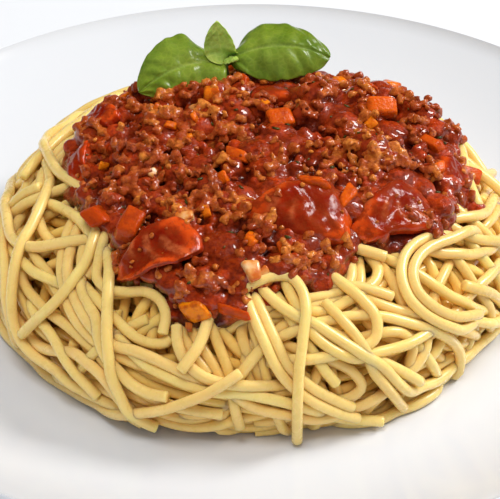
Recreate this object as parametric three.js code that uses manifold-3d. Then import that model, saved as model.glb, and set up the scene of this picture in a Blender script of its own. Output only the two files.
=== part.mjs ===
// Spaghetti bolognese on a round white plate, in millimetres, +Z up, origin on the table under the
// middle of the plate. The front of the dish faces -Y.
//
// The plate is a shallow coupe on a foot ring. A nest of spaghetti stands in its well, a thick cap of
// minced meat, tomato and carrot sauce lies over the nest, and a sprig of basil is stuck in the sauce
// behind the middle. Azimuths are in degrees round the plate, counted from +X towards +Y, so the front
// is at -90.
import * as THREE from "three";
import { mergeVertices } from "three/addons/utils/BufferGeometryUtils.js";
import Module from "manifold-3d";

const wasm = await Module();
wasm.setup();

// Driving dimensions of the plate
const PLATE_RADIUS = 124;
const PLATE_HEIGHT = 24;
const PLATE_WALL = 4;
const WELL_FLOOR = 7;
const WELL_RADIUS = 80;
const FOOT_RADIUS = 74;
const FOOT_WIDTH = 5;
const PLATE_LIP = 1.2;
const WALL_CURVE = 1.7;
const PLATE_SEGMENTS = 48;

// Driving dimensions of the spaghetti nest
const NOODLE_DIAMETER = 2.9;
const NOODLE_SIDES = 5;
const NOODLE_STEP = 8;
const SWEEPING_BANDS = 4;
const SWEEPING_NOODLES = 20;
const LOOPING_NOODLES = 7;
const NEST_RADIUS = 71;
const NEST_NECK = 30;
const NEST_BELLY_HEIGHT = 9;
const NEST_RISE = 28;
const NEST_FOOT_TUCK = 5;
const NEST_FOOT_ANGLE = -50;
const NEST_CROWN_ANGLE = 62;
const NEST_SIDE_CURVE = 0.8;
const CORE_INSET = 1.9;
const CORE_CROWN = 0.5;
const CORE_SECTORS = 28;

// Driving dimensions of the sauce
const SAUCE_RADIUS = 52.5;
const SAUCE_EDGE_THICKNESS = 7;
const SAUCE_CROWN_THICKNESS = 13.5;
const SAUCE_ROUNDING_START = 0.82;
const SAUCE_ROUNDING_REACH = 0.19;
const SAUCE_SWELL = 1.3;
const SAUCE_HEM = 2.5;
const SAUCE_SECTORS = 28;
const MINCE_SIZE = 5.4;
const MINCE_COUNT = 40;
const CARROT_SIZE = 6.2;
const CARROT_SINK = 0.7;

// Tongues and bays of the sauce's edge: the azimuth of the middle, how far out it runs, and its width
const SAUCE_BAYS = [
  [251, 10.5, 21],
  [5, 6, 45],
  [300, -5.5, 17],
  [203, -3, 22],
];

// Neighbouring pieces keep this much air between them
const GAP = 0.3;

const UNDERSIDE = WELL_FLOOR - PLATE_WALL;
const NOODLE_RADIUS = NOODLE_DIAMETER / 2;
const NEST_MIDDLE = WELL_FLOOR + NEST_BELLY_HEIGHT;
const rad = THREE.MathUtils.degToRad;
const { lerp, smoothstep } = THREE.MathUtils;

// Shared helpers

function seededRandom(seed) {
  let state = seed;
  return (low = 0, high = 1) => {
    state = (state * 1664525 + 1013904223) % 4294967296;
    return low + ((high - low) * state) / 4294967296;
  };
}

function solidFrom(geometry) {
  const bare = new THREE.BufferGeometry();
  bare.setAttribute("position", geometry.getAttribute("position"));
  bare.setIndex(geometry.index);
  const merged = mergeVertices(bare, 1e-4);
  return new wasm.Manifold(
    new wasm.Mesh({
      numProp: 3,
      vertProperties: new Float32Array(merged.attributes.position.array),
      triVerts: new Uint32Array(merged.index.array),
    }),
  );
}

// The largest body of a solid, so that a crumb cut loose by its neighbour is dropped
function largestBody(solid) {
  return solid.decompose().reduce((best, body) => (body.volume() > best.volume() ? body : best));
}

function geometryFrom(solid) {
  const mesh = solid.getMesh();
  const geometry = new THREE.BufferGeometry();
  geometry.setAttribute("position", new THREE.BufferAttribute(mesh.vertProperties, 3));
  geometry.setIndex(new THREE.BufferAttribute(mesh.triVerts, 1));
  geometry.computeVertexNormals();
  return geometry;
}

// A closed skin through rings of points that share their count, capped by one point at each end
function ringedSkin(rings, firstPole, lastPole) {
  const count = rings[0].length;
  const positions = [firstPole, ...rings.flat(), lastPole].flatMap((p) => [p.x, p.y, p.z]);
  const faces = [];
  const at = (ring, k) => 1 + ring * count + (k % count);
  const last = rings.length - 1;
  const end = 1 + rings.length * count;
  for (let k = 0; k < count; k++) {
    faces.push(0, at(0, k + 1), at(0, k));
    for (let ring = 0; ring < last; ring++) {
      faces.push(at(ring, k), at(ring, k + 1), at(ring + 1, k + 1));
      faces.push(at(ring, k), at(ring + 1, k + 1), at(ring + 1, k));
    }
    faces.push(end, at(last, k), at(last, k + 1));
  }
  const geometry = new THREE.BufferGeometry();
  geometry.setAttribute("position", new THREE.Float32BufferAttribute(positions, 3));
  geometry.setIndex(faces);
  return geometry;
}

function ringOf(count, pointAt) {
  return Array.from({ length: count }, (_, k) => pointAt((360 * k) / count));
}

function polar(azimuth, radius, z) {
  return new THREE.Vector3(radius * Math.cos(rad(azimuth)), radius * Math.sin(rad(azimuth)), z);
}

// Plate: a lathed coupe with a foot ring and a rounded lip

function wallHeight(radius) {
  const share = (radius - WELL_RADIUS) / (PLATE_RADIUS - WELL_RADIUS);
  return (PLATE_HEIGHT - WELL_FLOOR) * Math.max(0, share) ** WALL_CURVE;
}

function plateGeometry() {
  const wallRadii = [0.3, 0.55, 0.78, 0.93].map((share) => lerp(WELL_RADIUS, PLATE_RADIUS, share));
  const profile = [
    [0, WELL_FLOOR],
    [WELL_RADIUS, WELL_FLOOR],
    ...wallRadii.map((radius) => [radius, WELL_FLOOR + wallHeight(radius)]),
    [PLATE_RADIUS - PLATE_LIP * 1.4, PLATE_HEIGHT - PLATE_LIP * 0.2],
    [PLATE_RADIUS - PLATE_LIP * 0.5, PLATE_HEIGHT],
    [PLATE_RADIUS, PLATE_HEIGHT - PLATE_LIP * 1.3],
    ...wallRadii
      .slice(0, 3)
      .reverse()
      .map((radius) => [radius + PLATE_WALL / 2, UNDERSIDE + wallHeight(radius) * 0.97]),
    [FOOT_RADIUS + FOOT_WIDTH, UNDERSIDE],
    [FOOT_RADIUS + FOOT_WIDTH - 1, 0],
    [FOOT_RADIUS, 0],
    [FOOT_RADIUS - 1, UNDERSIDE],
    [0, UNDERSIDE],
  ];
  const points = profile.reverse().map(([radius, z]) => new THREE.Vector2(radius, z));
  return new THREE.LatheGeometry(points, PLATE_SEGMENTS).rotateX(Math.PI / 2);
}

// Nest: its outline is a belly that leans in to a crown, uneven from side to side

function unevenness(azimuth) {
  const turn = rad(azimuth);
  return (
    1 +
    0.016 * Math.cos(2 * (turn - rad(205))) +
    0.014 * Math.sin(3 * turn + 0.6) +
    0.008 * Math.sin(7 * turn + 2)
  );
}

// A point of the nest's outline at one angle of the belly's curve, moved outwards by lift
function nestPoint(azimuth, angle, lift) {
  const cosine = Math.max(0, Math.cos(rad(angle)));
  const sine = Math.sin(rad(angle));
  const radius =
    angle < 0
      ? NEST_RADIUS + lift - NEST_FOOT_TUCK * (1 - cosine)
      : NEST_NECK + (NEST_RADIUS - NEST_NECK + lift) * cosine ** NEST_SIDE_CURVE;
  const rise = angle < 0 ? NEST_BELLY_HEIGHT + lift : NEST_RISE + lift;
  return polar(azimuth, radius * unevenness(azimuth), NEST_MIDDLE + rise * sine);
}

// The outline again, by climb: 0 at the foot on the plate, 1 at the crown under the sauce
function nestAt(azimuth, climb, lift) {
  const point = nestPoint(azimuth, lerp(NEST_FOOT_ANGLE, NEST_CROWN_ANGLE, climb), lift);
  point.z = Math.max(point.z, WELL_FLOOR + GAP + NOODLE_RADIUS);
  return point;
}

// Height of the nest's top over a place inside its belly
function nestTop(azimuth, radius, lift) {
  const inward = radius / unevenness(azimuth) - NEST_NECK;
  const cosine = Math.max(0, inward / (NEST_RADIUS - NEST_NECK + lift)) ** (1 / NEST_SIDE_CURVE);
  const sine = Math.sqrt(Math.max(0, 1 - cosine * cosine));
  return NEST_MIDDLE + (NEST_RISE + lift) * sine;
}

// The core fills the nest under its noodles. Grown by the gap, it cuts the sauce that lies on it.
function coreSolid(grow) {
  const lift = grow - CORE_INSET;
  const foot = WELL_FLOOR + GAP - grow;
  const angles = [NEST_FOOT_ANGLE, -18, 12, 32, 48, 66, 90];
  const rings = angles.map((angle) =>
    ringOf(CORE_SECTORS, (azimuth) => {
      const point = nestPoint(azimuth, angle, lift);
      return angle === angles[0] ? point.setZ(foot) : point;
    }),
  );
  const top = new THREE.Vector3(0, 0, NEST_MIDDLE + NEST_RISE + lift + CORE_CROWN);
  return solidFrom(ringedSkin(rings, new THREE.Vector3(0, 0, foot), top));
}

// One noodle: a bar of few sides along a smooth route, given as stops of [azimuth, climb, lift]
function noodleSolid(stops) {
  const route = new THREE.CatmullRomCurve3(stops.map((stop) => nestAt(...stop)));
  const section = new THREE.Shape();
  for (let k = 0; k < NOODLE_SIDES; k++) {
    const turn = (2 * Math.PI * k) / NOODLE_SIDES;
    const x = NOODLE_RADIUS * Math.cos(turn);
    const y = NOODLE_RADIUS * Math.sin(turn);
    if (k === 0) section.moveTo(x, y);
    else section.lineTo(x, y);
  }
  const steps = Math.round(route.getLength() / NOODLE_STEP);
  return solidFrom(new THREE.ExtrudeGeometry(section, { extrudePath: route, steps }));
}

// Noodles that run round the nest, each rising out of the core and sinking into it again
function sweepingStops(azimuth, sweep, low, high, lift) {
  const sunk = -CORE_INSET - 2;
  return [0, 0.12, 0.35, 0.62, 0.88, 1].map((share) => {
    const ends = share === 0 || share === 1;
    return [azimuth + sweep * share, lerp(low, high, smoothstep(share, 0, 1)), ends ? sunk : lift];
  });
}

// Noodles that come out under the sauce, hang down the side in a bend and go back up
function loopingStops(azimuth, width, depth, lift) {
  return [
    [azimuth, 1, lift],
    [azimuth + width * 0.02, lerp(1, depth, 0.6), lift],
    [azimuth + width * 0.28, depth + 0.02, lift],
    [azimuth + width * 0.72, depth, lift],
    [azimuth + width * 0.98, lerp(1, depth, 0.6), lift],
    [azimuth + width, 1, lift],
  ];
}

// The strand that hangs straight down the front and runs out on to the plate
const HANGING_STOPS = [
  [-89, 1, 0.5],
  [-83, 0.97, 1.6],
  [-78.5, 0.86, 1.8],
  [-78, 0.62, 1.6],
  [-78.5, 0.3, 1.4],
  [-79, 0.04, 1.6],
  [-79, 0, 5],
];

function noodleRoutes() {
  const random = seededRandom(7);
  const routes = [HANGING_STOPS];
  for (let k = 0; k < SWEEPING_NOODLES; k++) {
    const band = k % SWEEPING_BANDS;
    const azimuth = (360 * k) / SWEEPING_NOODLES + band * 67;
    const low = 0.05 + band * 0.19;
    const high = Math.min(0.9, low + random(-0.02, 0.34));
    const sweep = random(50, 62) * (random() > 0.4 ? 1 : -1);
    routes.push(sweepingStops(azimuth - sweep / 2, sweep, low, high, random(-0.7, 0.6)));
  }
  for (let k = 0; k < LOOPING_NOODLES; k++) {
    const azimuth = -44 + (360 * k) / LOOPING_NOODLES + random(-9, 9);
    routes.push(loopingStops(azimuth, random(13, 22), random(0.25, 0.62), random(-0.3, 0.9)));
  }
  return routes;
}

// Sauce: a thick cap over the nest, lower and longer at the front left

function sauceEdge(azimuth) {
  const turn = rad(azimuth);
  const waves = 0.8 * Math.sin(4 * turn + 1) + 0.8 * Math.sin(9 * turn);
  return SAUCE_BAYS.reduce((edge, [middle, reach, width]) => {
    const aside = ((azimuth + 900 - middle) % 360) - 180;
    return edge + reach * Math.exp(-((aside / width) ** 2));
  }, SAUCE_RADIUS + waves);
}

function sauceTop(azimuth, share, grow) {
  const radius = share * (sauceEdge(azimuth) + grow);
  const plump = lerp(SAUCE_CROWN_THICKNESS, SAUCE_EDGE_THICKNESS, share ** 1.6);
  const over = Math.max(0, share - SAUCE_ROUNDING_START) / SAUCE_ROUNDING_REACH;
  const round = Math.sqrt(Math.max(0, 1 - over * over));
  const point = polar(azimuth, radius, nestTop(azimuth, radius, -CORE_INSET));
  const swell = SAUCE_SWELL * Math.sin(point.x / 5.2 + 0.8) * Math.sin(point.y / 6 + 1.9);
  point.z += (plump + grow + swell * round) * round;
  return point;
}

function sauceBody(grow) {
  const shares = [1, 0.95, 0.86, 0.7, 0.48, 0.22];
  const top = shares.map((share) => ringOf(SAUCE_SECTORS, (azimuth) => sauceTop(azimuth, share, grow)));
  const below = [0.45, 0.99].map((share) =>
    ringOf(SAUCE_SECTORS, (azimuth) => {
      const point = sauceTop(azimuth, share, grow);
      const radius = Math.hypot(point.x, point.y);
      return point.setZ(nestTop(azimuth, radius, -CORE_INSET) - SAUCE_HEM);
    }),
  );
  const deep = new THREE.Vector3(0, 0, WELL_FLOOR + NEST_RISE);
  const crown = sauceTop(0, 0, grow);
  return solidFrom(ringedSkin([...below, ...top], deep, crown));
}

// A place on the sauce, and the way its surface faces there
function onSauce(azimuth, share, sink) {
  const place = sauceTop(azimuth, share, 0);
  const outward = polar(azimuth, 1, 0);
  const lean = 0.35 + 0.75 * share ** 3;
  const normal = outward.multiplyScalar(lean).add(new THREE.Vector3(0, 0, 1)).normalize();
  return { place: place.addScaledVector(normal, -sink), normal };
}

function placedSolid(geometry, spot, spin) {
  const facing = new THREE.Quaternion().setFromUnitVectors(new THREE.Vector3(0, 0, 1), spot.normal);
  const turn = new THREE.Quaternion().setFromEuler(new THREE.Euler(...spin.map(rad)));
  const matrix = new THREE.Matrix4().compose(spot.place, facing.multiply(turn), new THREE.Vector3(1, 1, 1));
  return solidFrom(geometry.applyMatrix4(matrix));
}

// Tomato: soft curved chunks, big enough to be pieces of their own.
// Each has its azimuth, its share of the way out, length, width, thickness, spin, tilt and sink.
const TOMATOES = {
  tomato_front_left: [241, 0.81, 23, 14, 6, 12, 5, 0.4],
  tomato_front_right: [325, 0.83, 25, 15, 6.6, 41, 4, 0.4],
  tomato_middle: [291, 0.73, 26, 19, 8.5, 20, -4, 0.6],
  tomato_right: [356, 0.9, 12, 9, 5.6, 80, 6, 0.6],
  tomato_back: [80, 0.455, 12, 8.5, 5.6, 20, 0, 0.8],
  tomato_back_right: [62, 0.78, 15, 11, 6, 60, 6, 0.6],
  tomato_back_left: [160, 0.86, 13, 10, 5.6, 130, 4, 0.6],
  tomato_left: [182, 0.9, 12, 9, 5.2, 95, 8, 0.6],
};

function tomatoSolid([azimuth, share, length, width, thickness, spin, tilt, sink], grow) {
  const chunk = new THREE.SphereGeometry(1, 12, 6).rotateX(Math.PI / 2);
  const position = chunk.getAttribute("position");
  const squared = (t) => Math.sign(t) * Math.abs(t) ** 0.72;
  for (let i = 0; i < position.count; i++) {
    const x = squared(position.getX(i)) * (length / 2 + grow);
    const y = squared(position.getY(i)) * (width / 2 + grow);
    const bend = 0.018 * x * x + 0.01 * x * y;
    const z = position.getZ(i) * (thickness / 2 + grow) * (1 + (0.25 * x) / length) - bend;
    position.setXYZ(i, x, y, z);
  }
  return placedSolid(chunk, onSauce(azimuth, share, sink), [tilt, 0, spin]);
}

// Mince crumbs and carrot dice, fused on the sauce and clear of the tomato and the basil
function crumbSolids() {
  const random = seededRandom(23);
  const solids = [];
  const diced = [
    [-101, 0.95],
    [-84, 0.93],
    [-56, 0.4],
    [-38, 0.52],
    [-5, 0.62],
    [18, 0.68],
    [1, 0.94],
    [60, 0.82],
    [102, 0.8],
    [160, 0.56],
    [207, 0.66],
    [214, 0.93],
    [228, 0.82],
    [250, 0.34],
    [290, 0.2],
    [150, 0.86],
    [120, 0.5],
    [300, 0.88],
  ];
  for (const [azimuth, share] of diced) {
    const size = CARROT_SIZE * random(0.85, 1.1);
    const dice = new THREE.BoxGeometry(size, size * random(0.8, 1), size * random(0.8, 0.95));
    const edge = Math.min(share, 0.9);
    const spin = [random(-35, 35), random(-35, 35), random(0, 90)];
    solids.push(placedSolid(dice, onSauce(azimuth, edge, CARROT_SINK), spin));
  }
  for (let k = 0; k < MINCE_COUNT; k++) {
    const share = 0.955 * Math.sqrt((k + 0.5) / MINCE_COUNT);
    const crumb = new THREE.IcosahedronGeometry(MINCE_SIZE / 2, 0);
    crumb.scale(random(0.8, 1.25), random(0.75, 1.05), random(0.75, 1));
    const spin = [random(0, 180), random(0, 180), 0];
    solids.push(placedSolid(crumb, onSauce(k * 137.508, share, random(0.1, 0.7)), spin));
  }
  return solids;
}

// Basil: one sprig, with thin wavy leaves on a short stem.
// Each leaf has its base, heading, first pitch, bend, length, half width, roll and cup.
const SPRIG_FOOT = new THREE.Vector3(-8, 33, 46);
const STEM_RADIUS = 1.1;
const STEM_LENGTH = 15;
const LEAF_THICKNESS = 0.6;
const LEAVES = [
  { rise: 11.5, heading: 206, pitch: 24, bend: 60, length: 29, half: 9.4, roll: -38, cup: 0.3 },
  { rise: 11.5, heading: 4, pitch: 36, bend: 72, length: 31, half: 8.8, roll: 30, cup: 0.4 },
  { rise: 10.5, heading: 16, pitch: 15, bend: 26, length: 21, half: 5.6, roll: 4, cup: 0.3 },
  { rise: 11, heading: 165, pitch: 76, bend: -8, length: 12.5, half: 3.8, roll: -80, cup: -0.5 },
  { rise: 12, heading: -40, pitch: 54, bend: 60, length: 5.5, half: 1.9, roll: 0, cup: 0.4 },
];

// A point of a leaf: along runs from 0 at its stalk to 1 at its tip, across from -1 to 1
function leafPoint(leaf, along, across, offset, grow = 0) {
  const heading = polar(leaf.heading, 1, 0);
  const up = new THREE.Vector3(0, 0, 1);
  const side = new THREE.Vector3().crossVectors(up, heading);
  const point = SPRIG_FOOT.clone().add(new THREE.Vector3(0, 0, leaf.rise));
  const slices = 24;
  for (let k = 0; k < slices; k++) {
    const middle = (along * (k + 0.5)) / slices;
    const slope = rad(leaf.pitch - leaf.bend * middle);
    const step = (leaf.length * along) / slices;
    point.addScaledVector(heading, step * Math.cos(slope)).addScaledVector(up, step * Math.sin(slope));
  }
  const slope = rad(leaf.pitch - leaf.bend * along);
  const tangent = heading.clone().multiplyScalar(Math.cos(slope)).addScaledVector(up, Math.sin(slope));
  const roll = rad(leaf.roll) * smoothstep(along, 0, 0.35);
  side.applyAxisAngle(tangent, roll);
  const normal = new THREE.Vector3().crossVectors(tangent, side);
  const half = leaf.half * Math.sin(Math.PI * along ** 0.75) ** 0.8 + 0.5 * (1 - along) + grow;
  const puff = 0.5 * Math.sin(along * 19) * Math.abs(across) * (1 - Math.abs(across));
  const rise = offset + puff - leaf.cup * half * across * across;
  return point.addScaledVector(side, half * across).addScaledVector(normal, rise);
}

function leafSolid(leaf, grow) {
  const thick = LEAF_THICKNESS / 2 + grow;
  const big = leaf.length > 20;
  const alongs = big ? 8 : 5;
  const acrosses = big ? 4 : 2;
  const rings = [];
  for (let i = 0; i <= alongs; i++) {
    const along = lerp(0.02, 0.985, i / alongs);
    const upper = [];
    const lower = [];
    for (let j = 0; j <= acrosses; j++) {
      const across = -1 + (2 * j) / acrosses;
      upper.push(leafPoint(leaf, along, across, thick, grow));
      lower.unshift(leafPoint(leaf, along, across, -thick, grow));
    }
    rings.push([...upper, ...lower].reverse());
  }
  return solidFrom(ringedSkin(rings, leafPoint(leaf, 0, 0, 0), leafPoint(leaf, 1, 0, 0)));
}

function stemSolid(grow) {
  const stem = new THREE.CylinderGeometry(STEM_RADIUS + grow, STEM_RADIUS + grow, STEM_LENGTH + grow, 8);
  stem.rotateX(Math.PI / 2).translate(SPRIG_FOOT.x, SPRIG_FOOT.y, SPRIG_FOOT.z + STEM_LENGTH / 2 - 2);
  return solidFrom(stem);
}

// Assembly

const tomatoes = Object.entries(TOMATOES);
const keepOut = sauceBody(2.8);

let nest = coreSolid(0);
for (const route of noodleRoutes()) {
  nest = nest.add(noodleSolid(route).subtract(keepOut));
}
nest = largestBody(nest);

let sauce = sauceBody(0);
for (const crumb of crumbSolids()) sauce = sauce.add(crumb);
sauce = sauce.subtract(coreSolid(GAP)).subtract(stemSolid(GAP));
for (const [, tomato] of tomatoes) sauce = sauce.subtract(tomatoSolid(tomato, GAP));
for (const leaf of LEAVES) sauce = sauce.subtract(leafSolid(leaf, GAP));
sauce = largestBody(sauce);

let sprig = stemSolid(0);
for (const leaf of LEAVES) sprig = sprig.add(leafSolid(leaf, 0));

const porcelain = new THREE.MeshStandardMaterial({ color: 0xe9ebee, roughness: 0.18, metalness: 0 });
const pasta = new THREE.MeshStandardMaterial({ color: 0xe3c67f, roughness: 0.38, metalness: 0 });
const ragu = new THREE.MeshStandardMaterial({ color: 0x8f2f17, roughness: 0.3, metalness: 0 });
const tomatoFlesh = new THREE.MeshStandardMaterial({ color: 0xb52a12, roughness: 0.2, metalness: 0 });
const basilLeaf = new THREE.MeshStandardMaterial({ color: 0x5f9130, roughness: 0.4, metalness: 0 });

const dish = new THREE.Group();

function addPiece(name, geometry, material) {
  const mesh = new THREE.Mesh(geometry, material);
  mesh.name = name;
  dish.add(mesh);
}

addPiece("plate", plateGeometry(), porcelain);
addPiece("spaghetti_nest", geometryFrom(nest), pasta);
addPiece("bolognese_sauce", geometryFrom(sauce), ragu);
for (const [name, tomato] of tomatoes) {
  addPiece(name, geometryFrom(tomatoSolid(tomato, 0)), tomatoFlesh);
}
addPiece("basil_sprig", geometryFrom(largestBody(sprig)), basilLeaf);

export default dish;
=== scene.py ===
from math import cos, pi, radians, sin

import bpy
import numpy as np
from mathutils import Matrix, Vector, bvhtree, kdtree


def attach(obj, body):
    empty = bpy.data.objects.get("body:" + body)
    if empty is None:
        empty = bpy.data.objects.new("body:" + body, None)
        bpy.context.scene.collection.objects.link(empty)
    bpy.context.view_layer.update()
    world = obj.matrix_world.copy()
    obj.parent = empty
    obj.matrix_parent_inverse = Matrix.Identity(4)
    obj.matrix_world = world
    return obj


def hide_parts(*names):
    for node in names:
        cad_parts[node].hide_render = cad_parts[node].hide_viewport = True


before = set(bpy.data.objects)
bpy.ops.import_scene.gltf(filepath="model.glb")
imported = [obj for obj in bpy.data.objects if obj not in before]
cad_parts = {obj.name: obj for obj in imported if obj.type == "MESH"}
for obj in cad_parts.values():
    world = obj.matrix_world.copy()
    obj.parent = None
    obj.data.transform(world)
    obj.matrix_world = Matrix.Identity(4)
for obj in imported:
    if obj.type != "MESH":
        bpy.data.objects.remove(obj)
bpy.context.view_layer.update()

MM = 0.001
# Shares and turns that spread things evenly without rows
GOLDEN_SHARE = 0.6180339
GOLDEN_TURN = 2.399963

# Plate
PLATE_RADIUS = 124.0
PLATE_HEIGHT = 24.0
PLATE_WALL = 4.0
WELL_FLOOR = 7.0
WELL_RADIUS = 80.0
FOOT_RADIUS = 74.0
FOOT_WIDTH = 5.0

# Spaghetti nest
NOODLE_DIAMETER = 2.9
NOODLE_RADIUS = NOODLE_DIAMETER / 2
NEST_RADIUS = 71.0
# Radius that the belly leans in to, the belly's height, the crown's height over it, and how far
# the foot is tucked in
NEST_NECK = 30.0
NEST_BELLY = 9.0
NEST_RISE = 28.0
NEST_TUCK = 5.0

# Sauce: how far it runs, how thick it lies, and how deep it sinks into the nest
SAUCE_RADIUS = 52.5
SAUCE_EDGE_THICKNESS = 7.0
SAUCE_CROWN_THICKNESS = 13.5
CORE_INSET = 1.9
# Radius up to which the sauce rests on the nest
CORE_REACH = 66.0


# Shared helpers

def polar(azimuth, radius, z):
    """Points at azimuths in degrees, at a radius and a height."""
    turn = np.radians(azimuth)
    flat = np.broadcast_arrays(radius * np.cos(turn), radius * np.sin(turn), z)
    return np.stack(flat, axis=-1)


def smoothstep(share):
    share = np.clip(share, 0.0, 1.0)
    return share * share * (3 - 2 * share)


def unit(vector):
    return vector / np.linalg.norm(vector)


def between(first, second, share):
    return first + (second - first) * share


def deselect():
    for piece in bpy.context.selected_objects:
        piece.select_set(False)


def shade_smooth(piece):
    piece.data.polygons.foreach_set("use_smooth", [True] * len(piece.data.polygons))


def make_piece(name, points, faces, material):
    """A mesh piece at the origin, from points in millimetres."""
    mesh = bpy.data.meshes.new(name)
    mesh.from_pydata((np.asarray(points) * MM).tolist(), [], faces)
    mesh.update()
    mesh.materials.append(material)
    piece = bpy.data.objects.new(name, mesh)
    shade_smooth(piece)
    bpy.context.scene.collection.objects.link(piece)
    return piece


def apply_modifiers(piece):
    deselect()
    bpy.context.view_layer.objects.active = piece
    piece.select_set(True)
    for modifier in list(piece.modifiers):
        bpy.ops.object.modifier_apply(modifier=modifier.name)
    piece.select_set(False)


def paint(piece, colours):
    """Stores one colour for each point of a piece, which its material reads as its tone."""
    layer = piece.data.color_attributes.new("tone", "FLOAT_COLOR", "POINT")
    rgba = np.ones((len(piece.data.vertices), 4))
    rgba[:, :3] = colours
    layer.data.foreach_set("color", rgba.ravel())


def face_outward(piece):
    deselect()
    bpy.context.view_layer.objects.active = piece
    piece.select_set(True)
    bpy.ops.object.mode_set(mode="EDIT")
    bpy.ops.mesh.select_all(action="SELECT")
    bpy.ops.mesh.normals_make_consistent(inside=False)
    bpy.ops.object.mode_set(mode="OBJECT")


class Parts:
    """Points and faces of many shapes that become one piece, with a colour for each point."""

    def __init__(self):
        self.points = []
        self.faces = []
        self.tones = []
        self.count = 0

    def add(self, points, faces):
        self.points.append(points)
        self.faces.extend([[self.count + k for k in face] for face in faces])
        self.count += len(points)

    def make(self, name, material):
        piece = make_piece(name, np.vstack(self.points), self.faces, material)
        if self.tones:
            paint(piece, np.vstack(self.tones))
        return piece


def lift_shape(piece):
    """A primitive's points and faces, after which it is taken away."""
    points = np.array([v.co[:] for v in piece.data.vertices])
    faces = [list(p.vertices) for p in piece.data.polygons]
    mesh = piece.data
    bpy.data.objects.remove(piece)
    bpy.data.meshes.remove(mesh)
    return points, faces


# Camera: the photograph looks down on the front of the dish by 36 degrees

VIEW_ELEVATION = radians(36)
VIEW_DISTANCE = 650.0
FRAME_WIDTH = 500
FRAME_HEIGHT = 499
PIXELS_PER_MM = 3.6
SENSOR = 36.0
# How far above and beside the middle of the well the picture's middle is
VIEW_RISE = 8.47
VIEW_ASIDE = -1.11
# How near to the camera, and how far from it, the dish reaches
NEAREST = 500.0
FARTHEST = 800.0

view_back = np.array([0.0, -cos(VIEW_ELEVATION), sin(VIEW_ELEVATION)])
view_up = np.array([0.0, sin(VIEW_ELEVATION), cos(VIEW_ELEVATION)])
view_aim = np.array([0.0, 0.0, WELL_FLOOR]) + view_up * VIEW_RISE + np.array([VIEW_ASIDE, 0.0, 0.0])
view_eye = view_aim + view_back * VIEW_DISTANCE
focal_pixels = PIXELS_PER_MM * VIEW_DISTANCE


def make_camera():
    lens = bpy.data.cameras.new("camera")
    lens.sensor_width = SENSOR
    lens.lens = focal_pixels / FRAME_WIDTH * SENSOR
    lens.clip_end = 20
    camera = bpy.data.objects.new("camera", lens)
    camera.location = Vector(view_eye * MM)
    camera.rotation_euler = Vector(-view_back).to_track_quat("-Z", "Y").to_euler()
    bpy.context.scene.collection.objects.link(camera)
    bpy.context.scene.camera = camera


def sight(u, v):
    """The way the camera looks through a picture point."""
    ray = -view_back * focal_pixels + np.array([1.0, 0, 0]) * (u - FRAME_WIDTH / 2)
    ray = ray - view_up * (v - FRAME_HEIGHT / 2)
    return unit(ray)


# Nest: its outline is a belly that leans in to a crown, uneven from side to side

def unevenness(azimuth):
    turn = np.radians(azimuth)
    return (
        1
        + 0.016 * np.cos(2 * (turn - radians(205)))
        + 0.014 * np.sin(3 * turn + 0.6)
        + 0.008 * np.sin(7 * turn + 2)
    )


def nest_point(azimuth, climb, lift):
    """A place on the outline: climb is 0 at the foot on the plate and 1 at the crown."""
    angle = np.radians(-50 + 112 * np.minimum(climb, 1.25))
    cosine = np.maximum(np.cos(angle), 0)
    sine = np.sin(angle)
    low = angle < 0
    foot = NEST_RADIUS + lift - NEST_TUCK * (1 - cosine)
    belly = NEST_NECK + (NEST_RADIUS - NEST_NECK + lift) * cosine ** 0.8
    radius = np.where(low, foot, belly) * unevenness(azimuth)
    rise = np.where(low, NEST_BELLY + lift, NEST_RISE + lift)
    return polar(azimuth, radius, WELL_FLOOR + NEST_BELLY + rise * sine)


def nest_skin(points):
    """How far points are outside the nest's outline, and which way is outwards there."""
    azimuth = np.degrees(np.arctan2(points[:, 1], points[:, 0]))
    radius = np.hypot(points[:, 0], points[:, 1])
    even = radius / unevenness(azimuth)
    span = NEST_RADIUS - NEST_NECK
    inward = np.maximum(even - NEST_NECK, 0) / span
    climb = (points[:, 2] - WELL_FLOOR - NEST_BELLY) / NEST_RISE
    level = np.sqrt(inward ** 2.5 + climb ** 2) + 1e-6
    slope_out = 1.25 * inward ** 1.5 / span / level
    slope_up = climb / NEST_RISE / level
    steep = np.hypot(slope_out, slope_up) + 1e-6
    depth = (level - 1) / np.maximum(steep, 0.012)
    out, up = slope_out / steep, slope_up / steep
    low = climb < 0
    drop = np.clip(-climb * NEST_RISE / NEST_BELLY, 0, 1)
    wall = even - NEST_RADIUS + NEST_TUCK * (1 - np.sqrt(1 - drop ** 2 * 0.99))
    depth = np.where(low, wall, depth)
    out = np.where(low, 1.0, out)
    up = np.where(low, 0.0, up)
    turn = np.radians(azimuth)
    normal = np.stack([out * np.cos(turn), out * np.sin(turn), up], axis=-1)
    return depth, normal


def plate_top(radius):
    share = np.maximum(radius - WELL_RADIUS, 0) / (PLATE_RADIUS - WELL_RADIUS)
    return WELL_FLOOR + (PLATE_HEIGHT - WELL_FLOOR) * share ** 1.7


def on_nest(u, v, lift):
    """The place on the lifted outline, or else on the plate, that shows at a picture point."""
    along = np.arange(NEAREST, FARTHEST, 0.4)
    points = view_eye + along[:, None] * sight(u, v)
    depth, _ = nest_skin(points)
    floor = WELL_FLOOR + NOODLE_RADIUS
    hits = np.nonzero((depth < lift) | (points[:, 2] < floor))[0]
    return points[hits[0]]


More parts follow.
